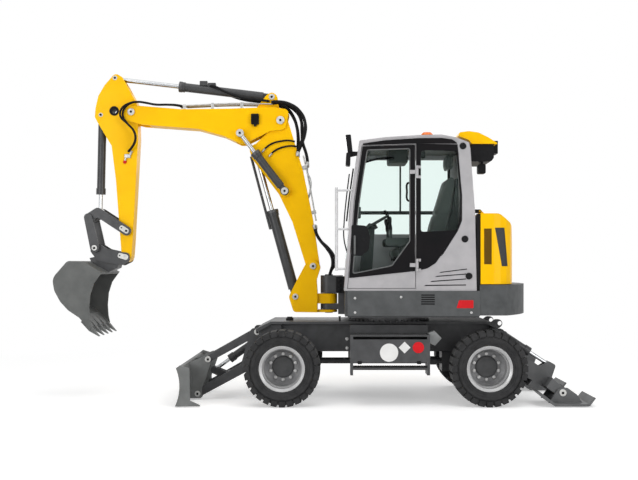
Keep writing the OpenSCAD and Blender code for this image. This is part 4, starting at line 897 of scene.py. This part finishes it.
keeperSettings = {
    # body: node, its pin, and the place that the plate points to
    "bucket": ("hitch", "bucket_turn", (-2.549, 1.691)),
    "rocker": ("rocker", "rocker_turn", (-2.53, 2.1)),
}
keeperSize = {"length": 0.118, "height": 0.058, "thick": 0.0045, "boltInset": 0.022}


def makeKeepers(settings, size):
    # pale oval plates that hold the pins of the bucket linkage
    for body, (nodeName, pin, towards) in settings.items():
        here = Vector((pins[pin].x, pins[pin].z))
        run = (Vector(towards) - here).normalized()
        side = Vector((-run.y, run.x)) * size["height"] / 2
        start = here - run * size["height"] / 2
        end = start + run * size["length"]
        bolt = end - run * size["boltInset"]
        face = -faceAt(nodeName, bolt.x, bolt.y)
        corners = (start - side, end - side, end + side, start + side)
        outline = roundOutline([(*corner, size["height"] * 0.49) for corner in corners])
        bm = bmesh.new()
        for sign in (-1, 1):
            addPrism(bm, outline, *sorted((sign * (face - 0.001), sign * (face + size["thick"]))))
        addSolid("keepers_" + body, bm, body, "capWhite")
        spots = [(bolt.x, sign * (face + size["thick"] + 0.001), bolt.y) for sign in (-1, 1)]
        addBolts("keeperBolts_" + body, spots, sideways, 0.007, 0.004, body, "blackPlastic", 1.2)


makeKeepers(keeperSettings, keeperSize)

cabTrimSettings = {
    "slots": [((1.26, 1.416), (1.555, 1.458)), ((1.218, 1.374), (1.545, 1.405)), ((1.165, 1.321), (1.545, 1.353)),
              ((1.102, 1.279), (1.545, 1.29))],
    "caps": [(1.513, 2.755), (1.534, 1.774), (1.576, 1.384)],
    "beacon": (1.178, -0.44, 2.889),
    "beaconReach": 0.09,
    "rail": (0.36, -0.87, 1.42, 2.34),  # most X and Y, least and most Z
    "lampFaces": (0.3, 2.69, 1.93),  # before the first X over the Z, or behind the last X
    "wiper": [(0.3, -0.46, 1.62), (0.262, -0.46, 1.8), (0.266, -0.46, 1.98), (0.286, -0.46, 2.2),
              (0.322, -0.46, 2.5)],
}


def makeCabTrim(settings):
    bm = bmesh.new()
    for (x0, z0), (x1, z1) in settings["slots"]:
        addPrism(bm, [(x0, z0), (x1, z1 - 0.005), (x1, z1 + 0.005), (x0 + 0.02, z0 + 0.012)], cabFace - 0.002,
                 cabFace + 0.004)
    for x, z in settings["caps"]:
        addTurned(bm, [(0, 0), (0.036, 0), (0.036, 0.006), (0.028, 0.012), (0.012, 0.013), (0, 0.009)],
                  (x, cabFace + 0.001, z), (0, -1, 0))
    addSolid("cabSlots", bm, "upper", "blackPlastic")
    # orange lens, pale rail and lamp faces on the fittings
    mesh = nodes["fittings"].data
    for finish in ("beaconOrange", "railGrey", "lampPale"):
        mesh.materials.append(materials[finish])
    x, y, z = settings["beacon"]
    railX, railY, railLow, railHigh = settings["rail"]
    frontX, frontZ, rearX = settings["lampFaces"]
    for face in mesh.polygons:
        spot = face.center
        if math.hypot(spot.x - x, spot.y - y) < settings["beaconReach"] and spot.z > z:
            face.material_index = 1
        elif spot.x < railX and spot.y < railY and railLow < spot.z < railHigh:
            face.material_index = 2
        elif abs(face.normal.x) > 0.9 and (spot.x < frontX and spot.z > frontZ or spot.x > rearX):
            face.material_index = 3
    # wiper before the windscreen
    addHoses("wiperArm", [settings["wiper"]], 0.007, "blackPlastic", "upper", 8)
    blade = [(0.292, -0.46, 1.98), (0.322, -0.46, 2.24), (0.366, -0.46, 2.56)]
    addHoses("wiperBlade", [blade], 0.01, "hoseRubber", "upper", 6)
    # dark joint between the cab, the skirt and the hood
    bm = bmesh.new()
    addBox(bm, (1.66, -0.918, 1.235), (1.698, -0.88, 2.04))
    addSolid("hoodSeal", bm, "upper", "hoseRubber")
    # bulkhead before the engine, with pressed ribs
    bm = bmesh.new()
    addBox(bm, (1.69, -0.88, 1.235), (1.6975, 0.912, 2.03), 0.002)
    for k in range(4):
        addBox(bm, (1.686, 0.12 + 0.19 * k, 1.84), (1.691, 0.24 + 0.19 * k, 1.98), 0.002)
    addSolid("bulkhead", bm, "upper", "skirtPaint")


makeCabTrim(cabTrimSettings)
print("cab trimmed")

# inside the cab
interiorSettings = {"middle": -0.475, "farWall": 0.008}


def makeInterior(settings):
    middle, far = settings["middle"], settings["farWall"]
    bm = bmesh.new()
    addBox(bm, (0.47, -0.884, 2.752), (1.54, 0.004, 2.789), 0.006)
    addBox(bm, (0.745, -0.64, 2.605), (0.955, -0.23, 2.755), 0.02)
    addBox(bm, (1.04, -0.8, 2.64), (1.13, -0.56, 2.755), 0.015)
    addBox(bm, (0.42, far - 0.022, 2.075), (1.5, far, 2.115), 0.004)
    addBox(bm, (0.902, far - 0.02, 2.11), (0.922, far, 2.72), 0.004)
    addBox(bm, (0.405, -0.64, 2.01), (0.445, -0.43, 2.13), 0.008)
    addBox(bm, (0.3, -0.886, 1.272), (1.6, 0.006, 1.284))
    addSolid("cabLiner", bm, "upper", "innerPlastic")
    addHoses("visorRoll", [[(0.5, -0.84, 2.69), (0.495, middle, 2.69), (0.5, -0.06, 2.69)]], 0.034, "innerPlastic",
             "upper", 16)
    rails = [[(1.025, far, 2.44), (0.99, far - 0.04, 2.425), (0.986, far - 0.046, 2.335), (0.99, far - 0.04, 2.245),
              (1.025, far, 2.23)],
             [(0.462, -0.7, 2.6), (0.62, -0.7, 2.64), (0.8, -0.64, 2.66)]]
    addHoses("grabHandles", rails, 0.012, "blackPlastic", "upper", 10)
    bm = bmesh.new()
    for side in (-1, 1):
        grip = [(0, -0.01), (0.019, -0.01), (0.021, 0.02), (0.017, 0.05), (0.024, 0.085), (0.026, 0.11),
                (0.02, 0.13), (0, 0.136)]
        addTurned(bm, grip, (0.757, middle + side * 0.31, 1.885), (-0.12, 0, 1), 18)
    addTurned(bm, [(0, 0), (0.01, 0), (0.01, 0.025), (0.022, 0.034), (0.024, 0.055), (0.016, 0.07), (0, 0.073)],
              (0.738, middle, 2.034), (-0.5, 0, 0.866), 18)
    addSolid("leverGrips", bm, "upper", "blackPlastic", smooth=True)


makeInterior(interiorSettings)

seatSettings = {
    "voxel": 0.01, "pressure": 4.0, "frames": 20, "cap": 0.022, "fill": 0.7, "soften": 0.018,
    "seamDepth": 0.012, "seamWidth": 0.012, "seamAt": 0.62, "tallFrom": 0.3,
    "shell": [(1.32, 1.29), (1.32, 1.64), (1.432, 2.12), (1.474, 2.44, 0.008), (1.492, 2.43, 0.008),
              (1.492, 2.0, 0.03), (1.47, 1.29)],
    "cushion": ([(0.752, 1.585, 0.04), (0.752, 1.672, 0.05), (1.13, 1.645, 0.03), (1.185, 1.61, 0.03),
                 (1.185, 1.585, 0.01)], 0.226),
    "back": ([(1.16, 1.65, 0.03), (1.224, 1.93, 0.15), (1.39, 2.462, 0.035), (1.456, 2.462, 0.035),
              (1.41, 2.12, 0.08), (1.298, 1.632, 0.05)], 0.226),
    "head": ([(1.372, 2.535, 0.025), (1.362, 2.62, 0.025), (1.38, 2.718, 0.03), (1.438, 2.718, 0.03),
              (1.455, 2.64, 0.025), (1.442, 2.535, 0.025)], 0.118),
}


def makePad(name, outline, half, settings):
    middle = interiorSettings["middle"]
    bm = bmesh.new()
    addPrism(bm, roundOutline(outline), middle - half, middle + half, settings["soften"])
    pad = bpy.data.objects.new(name, meshFrom(name, bm))
    scene.collection.objects.link(pad)
    even = pad.modifiers.new("even", "REMESH")
    even.mode = "VOXEL"
    even.voxel_size = settings["voxel"]
    graph = bpy.context.evaluated_depsgraph_get()
    start = bpy.data.meshes.new_from_object(pad.evaluated_get(graph))
    pad.modifiers.remove(even)
    pad.data = start
    before = [v.co.copy() for v in start.vertices]
    swell = pad.modifiers.new("swell", "CLOTH")
    swell.settings.use_pressure = True
    swell.settings.uniform_pressure_force = settings["pressure"]
    swell.settings.effector_weights.gravity = 0
    for step in range(1, settings["frames"] + 1):
        scene.frame_set(step)
    swollen = bpy.data.meshes.new_from_object(pad.evaluated_get(bpy.context.evaluated_depsgraph_get()))
    pad.modifiers.remove(swell)
    scene.frame_set(1)
    for vertex, old, new in zip(start.vertices, before, swollen.vertices):
        move = new.co - old
        vertex.co = old + move * min(1.0, settings["cap"] / max(move.length, 1e-9))
    # sewn channels: one along each side bolster, one across the middle
    low = Vector((min(v.co[i] for v in start.vertices) for i in range(3)))
    high = Vector((max(v.co[i] for v in start.vertices) for i in range(3)))
    centre = (low + high) / 2
    normals = [n.vector.copy() for n in start.vertex_normals]
    for vertex, normal in zip(start.vertices, normals):
        off = vertex.co - centre
        across = abs(off.z) if high.z - low.z > settings["tallFrom"] else abs(off.x)
        near = min(abs(abs(vertex.co.y - middle) - half * settings["seamAt"]), across)
        vertex.co -= normal * settings["seamDepth"] * math.exp(-((near / settings["seamWidth"]) ** 2))
    start.materials.clear()
    start.materials.append(materials["seatCloth"])
    start.polygons.foreach_set("use_smooth", [True] * len(start.polygons))
    finer = pad.modifiers.new("finer", "SUBSURF")
    finer.levels = finer.render_levels = 1
    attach(pad, "upper")
    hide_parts("seat")


def makeSeat(settings):
    for part in ("cushion", "back", "head"):
        makePad("seat" + part.capitalize(), *settings[part], settings)
    middle = interiorSettings["middle"]
    bm = bmesh.new()
    for y in (-0.06, 0.06):
        addTurned(bm, [(0, 0), (0.009, 0), (0.009, 0.11), (0, 0.11)], (1.415, middle + y, 2.445), (0, 0, 1), 14)
    addBox(bm, (0.85, middle - 0.18, 1.284), (1.25, middle + 0.18, 1.33), 0.006)
    addBox(bm, (0.79, middle - 0.2, 1.54), (1.27, middle + 0.2, 1.592), 0.01)
    for k in range(4):
        inset = 0.012 * (k % 2)
        addBox(bm, (0.87 + inset, middle - 0.165 + inset, 1.33 + 0.0525 * k),
               (1.235 - inset, middle + 0.165 - inset, 1.3825 + 0.0525 * k), 0.01)
    base = addSolid("seatBase", bm, "upper", "blackPlastic")
    bm = bmesh.new()
    addPrism(bm, roundOutline(settings["shell"]), middle - 0.2, middle + 0.2, 0.008)
    addSolid("seatShell", bm, "upper", "innerPlastic")
    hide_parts("seat")


makeSeat(seatSettings)
print("seat padded")

# details of the hood, the skirt, the frame and the deck
bodySettings = {
    "grille": (1.736, 1.816, 1.508, 1.885),  # left, right, bottom, top
    "corner": (1.839, 0.71, 0.2155),  # the bend's axis, and its radius
    "cornerEdges": ((1.852, 1.955, 1.893), (1.927, 1.993, 1.489)),  # left, right and height of its top and bottom
    "rearOpening": (1.418, 1.681, 1.822, 0.422),  # bottom, bend, top, half width
    "stripe": [(1.443, 1.046, 0.01), (1.622, 1.046, 0.01), (1.622, 1.13, 0.01), (1.47, 1.13, 0.01)],
    "skirtBolts": [(0.375, 1.152), (0.86, 1.163), (0.375, 1.0), (1.6, 1.0)],
    "chassisBolts": [(0.297, 0.679), (0.297, 0.577)],
}


def makeBodyDetails(settings):
    x0, x1, z0, z1 = settings["grille"]
    bm = bmesh.new()
    for side in (-1, 1):
        inner, outer = sorted((side * 0.923, side * 0.925))
        addBox(bm, (x0 + 0.001, inner, z0 + 0.001), (x1 - 0.001, outer, z1 - 0.001))
    addSolid("sideMesh", bm, "hood", "grilleBrown")
    rows = [(x0 + 0.004, side * 0.926, (z0 + z1) / 2) for side in (-1, 1)]
    addBars("sideWires", rows, 13, (0.006, 0, 0), (0.002, 0.003, z1 - z0 - 0.004), "hood", "grilleBrown")
    # dark mesh that follows the hood's rear corners
    cx, cy, radius = settings["corner"]
    (topLeft, topRight, top), (lowLeft, lowRight, low) = settings["cornerEdges"]
    bm = bmesh.new()
    columns, rows = 12, 16
    for side in (-1, 1):
        grid = []
        for j in range(rows + 1):
            t = j / rows
            left = lowLeft + (topLeft - lowLeft) * t
            right = lowRight + (topRight - lowRight) * t
            z = low + (top - low) * t
            line = []
            for i in range(columns + 1):
                x = left + (right - left) * i / columns
                lean = math.asin((x - cx) / radius)
                line.append([bm.verts.new((cx + r * math.sin(lean), side * (cy + r * math.cos(lean)), z))
                             for r in (radius, radius - 0.002)])
            grid.append(line)
        for j in range(rows):
            for i in range(columns):
                for k in (0, 1):
                    bm.faces.new([grid[j][i][k], grid[j][i + 1][k], grid[j + 1][i + 1][k], grid[j + 1][i][k]])
        border = [grid[0][i] for i in range(columns)] + [grid[j][columns] for j in range(rows)]
        border += [grid[rows][i] for i in range(columns, 0, -1)] + [grid[j][0] for j in range(rows, 0, -1)]
        for one, two in zip(border, border[1:] + border[:1]):
            bm.faces.new([one[0], two[0], two[1], one[1]])
    addSolid("cornerMesh", bm, "hood", "grilleDark", smooth=True)
    # fine mesh and louvres in the hood's rear opening, which leans forward at its top
    low, knee, high, half = settings["rearOpening"]

    def rearAt(z, inset):
        return min(2.109, 2.06 + (1.93 - z) * 0.197) - inset

    bm = bmesh.new()
    heights = (low, knee, high)
    addPrism(bm, [(rearAt(z, 0.01), z) for z in heights] + [(rearAt(z, 0.012), z) for z in reversed(heights)],
             -half, half)
    addSolid("rearMesh", bm, "hood", "grilleDark")
    slats = [(rearAt(z, 0.006), 0, z) for z in (low + 0.022 + 0.0235 * k for k in range(16))]
    addBars("rearLouvre", slats, 1, (0, 0, 0), (0.007, 2 * half, 0.009), "hood", "blackPlastic")
    # louvre, bolts and a stripe on the skirt
    bm = bmesh.new()
    for k in range(5):
        z = 1.084 + 0.0235 * k
        y = faceAt("skirts", 1.14, z)
        addPrism(bm, [(1.072, z), (1.214, z), (1.214, z + 0.012), (1.072, z + 0.012)], y - 0.006, y + 0.003, 0.002)
    addSolid("skirtLouvre", bm, "upper", "blackPlastic")
    bm = bmesh.new()
    y = faceAt("skirts", 1.53, 1.09)
    addPrism(bm, roundOutline(settings["stripe"]), y - 0.0015, y + 0.002)
    addSolid("skirtStripe", bm, "upper", "signRed")
    spots = [(x, faceAt("skirts", x, z) - 0.002, z) for x, z in settings["skirtBolts"]]
    addBolts("skirtBolts", spots, sideways, 0.009, 0.01, "upper")
    spots = [(x, faceAt("chassis_frame", x, z) - 0.003, z) for x, z in settings["chassisBolts"]]
    addBolts("chassisBolts", spots, sideways, 0.012, 0.012, "chassis")
    # chock beside the step box, cap and peg on the deck
    bm = bmesh.new()
    addPrism(bm, [(1.168, 0.77), (1.235, 0.792), (1.312, 0.712), (1.24, 0.632), (1.168, 0.665)], -0.72, -0.58,
             0.006)
    addSolid("wheelChock", bm, "chassis", "chockGrey")
    bm = bmesh.new()
    addTurned(bm, [(0, -0.01), (0.01, -0.01), (0.01, 0.04), (0.014, 0.042), (0.014, 0.05), (0, 0.052)],
              (0.217, -0.3, 0.876), (0, 0, 1), 14)
    addTurned(bm, [(0, -0.01), (0.042, -0.01), (0.042, 0.022), (0.03, 0.032), (0.03, 0.04), (0, 0.042)],
              (-0.345, -0.2, 0.876), (0, 0, 1), 20)
    addSolid("deckFittings", bm, "chassis", "blackPlastic", smooth=True)


makeBodyDetails(bodySettings)
print("body dressed")

# step boxes: perforated treads, signs and latches
stepSettings = {
    "face": -0.9, "left": 0.326,
    "studRows": (0.752, 0.396, 0.406), "gripRows": (0.762, 0.413), "latches": (0.426, 1.052),
    # place, radius, sides and finish
    "signs": {"speedSign": ((0.736, 0.574), 0.097, 32, "signWhite"),
              "squareSign": ((0.9, 0.628), 0.063, 4, "signWhite"),
              "roundSign": ((1.0456, 0.628), 0.06, 32, "signRed")},
}


def makeSteps(settings):
    face, left = settings["face"], settings["left"]
    for side, tag in ((1, "left"), (-1, "right")):
        y = face * side
        rows = [(left + 0.04, y - 0.001 * side, z) for z in settings["studRows"]]
        addBars("treadStuds_" + tag, rows, 39, (0.02, 0, 0), (0.0085, 0.005, 0.0065), "chassis", "ringSteel")
        tops = [(left + 0.04, -side * (abs(y) - 0.03 - 0.04 * k), z)
                for k in range(6) for z in settings["gripRows"]]
        addBars("treadGrip_" + tag, tops, 32, (0.0245, 0, 0), (0.014, 0.014, 0.004), "chassis", "ringSteel")
        bm = bmesh.new()
        for x in settings["latches"]:
            inner, outer = sorted((y, y - 0.012 * side))
            addBox(bm, (x - 0.022, inner, 0.452), (x + 0.022, outer, 0.485), 0.004)
        addSolid("boxLatches_" + tag, bm, "chassis", "blackPlastic")
    for name, ((x, z), radius, sides, finish) in settings["signs"].items():
        bm = bmesh.new()
        addTurned(bm, [(0, 0), (radius, 0), (radius, 0.003), (radius - 0.002, 0.004), (0, 0.004)], (x, face, z),
                  (0, -1, 0), sides)
        addSolid(name, bm, "chassis", finish)


makeSteps(stepSettings)

# wheel nuts, tyre side ribs and slew ring bolts
wheelSettings = {
    "ring": 0.139, "count": 10, "depth": 0.69, "head": 0.0125, "nutHeight": 0.022, "washer": 1.45,
    "hub": 0.121, "lip": 0.196, "tread": 0.352,  # radii where the finish changes
    "ribs": (0.268, 0.292, 0.322), "ribRadius": 0.0035, "ribKnots": 40,
}


def reachOf(mesh, face, centre):
    # how far a face's corners lie from the wheel's axle
    spots = [mesh.vertices[v].co for v in face.vertices]
    return [math.hypot(spot.x - centre.x, spot.z - centre.z) for spot in spots]


def makeWheels(settings):
    for wheel in ("front_left", "front_right", "rear_left", "rear_right"):
        low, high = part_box("tyre_" + wheel)
        centre = (low + high) / 2
        side = -1 if wheel.endswith("left") else 1
        middle = (centre.x, centre.z)
        spots = [(x, side * settings["depth"], z)
                 for x, z in ringPoints(middle, settings["ring"], settings["count"], 0.5)]
        addBolts("wheelNuts_" + wheel, spots, sideways, settings["head"], settings["nutHeight"], "wheel_" + wheel,
                 "zincSteel", settings["washer"])
        rim = nodes["rim_" + wheel].data
        rim.materials.append(materials["hubPaint"])
        rim.materials.append(materials["dishGrey"])
        for face in rim.polygons:
            reach = reachOf(rim, face, centre)
            if max(reach) < settings["hub"]:
                face.material_index = 1
            elif min(reach) < settings["lip"]:
                face.material_index = 2
        tyre = nodes["tyre_" + wheel].data
        tyre.materials.append(materials["treadRubber"])
        for face in tyre.polygons:
            if min(reachOf(tyre, face, centre)) > settings["tread"]:
                face.material_index = 1
        paths = []
        probe = math.pi / 28  # a turn that meets the plain side between two lugs
        for radius in settings["ribs"]:
            y = faceAt("tyre_" + wheel, centre.x + radius * math.cos(probe), centre.z + radius * math.sin(probe),
                       side)
            paths.append([(x, y, z) for x, z in ringPoints(middle, radius, settings["ribKnots"])])
        addHoses("tyreRibs_" + wheel, paths, settings["ribRadius"], "tyreRubber", "wheel_" + wheel, 6, True)


makeWheels(wheelSettings)

ringSettings = {"centre": (0.78, 0.0), "ring": 0.443, "count": 40, "deck": 0.878}


def makeRingBolts(settings):
    ring = ringPoints(settings["centre"], settings["ring"], settings["count"])
    spots = [(x, y, settings["deck"]) for x, y in ring]
    addBolts("ringBolts", spots, upright, 0.011, 0.03, "chassis", "ringSteel", 1.5)


makeRingBolts(ringSettings)
print("undercarriage dressed")
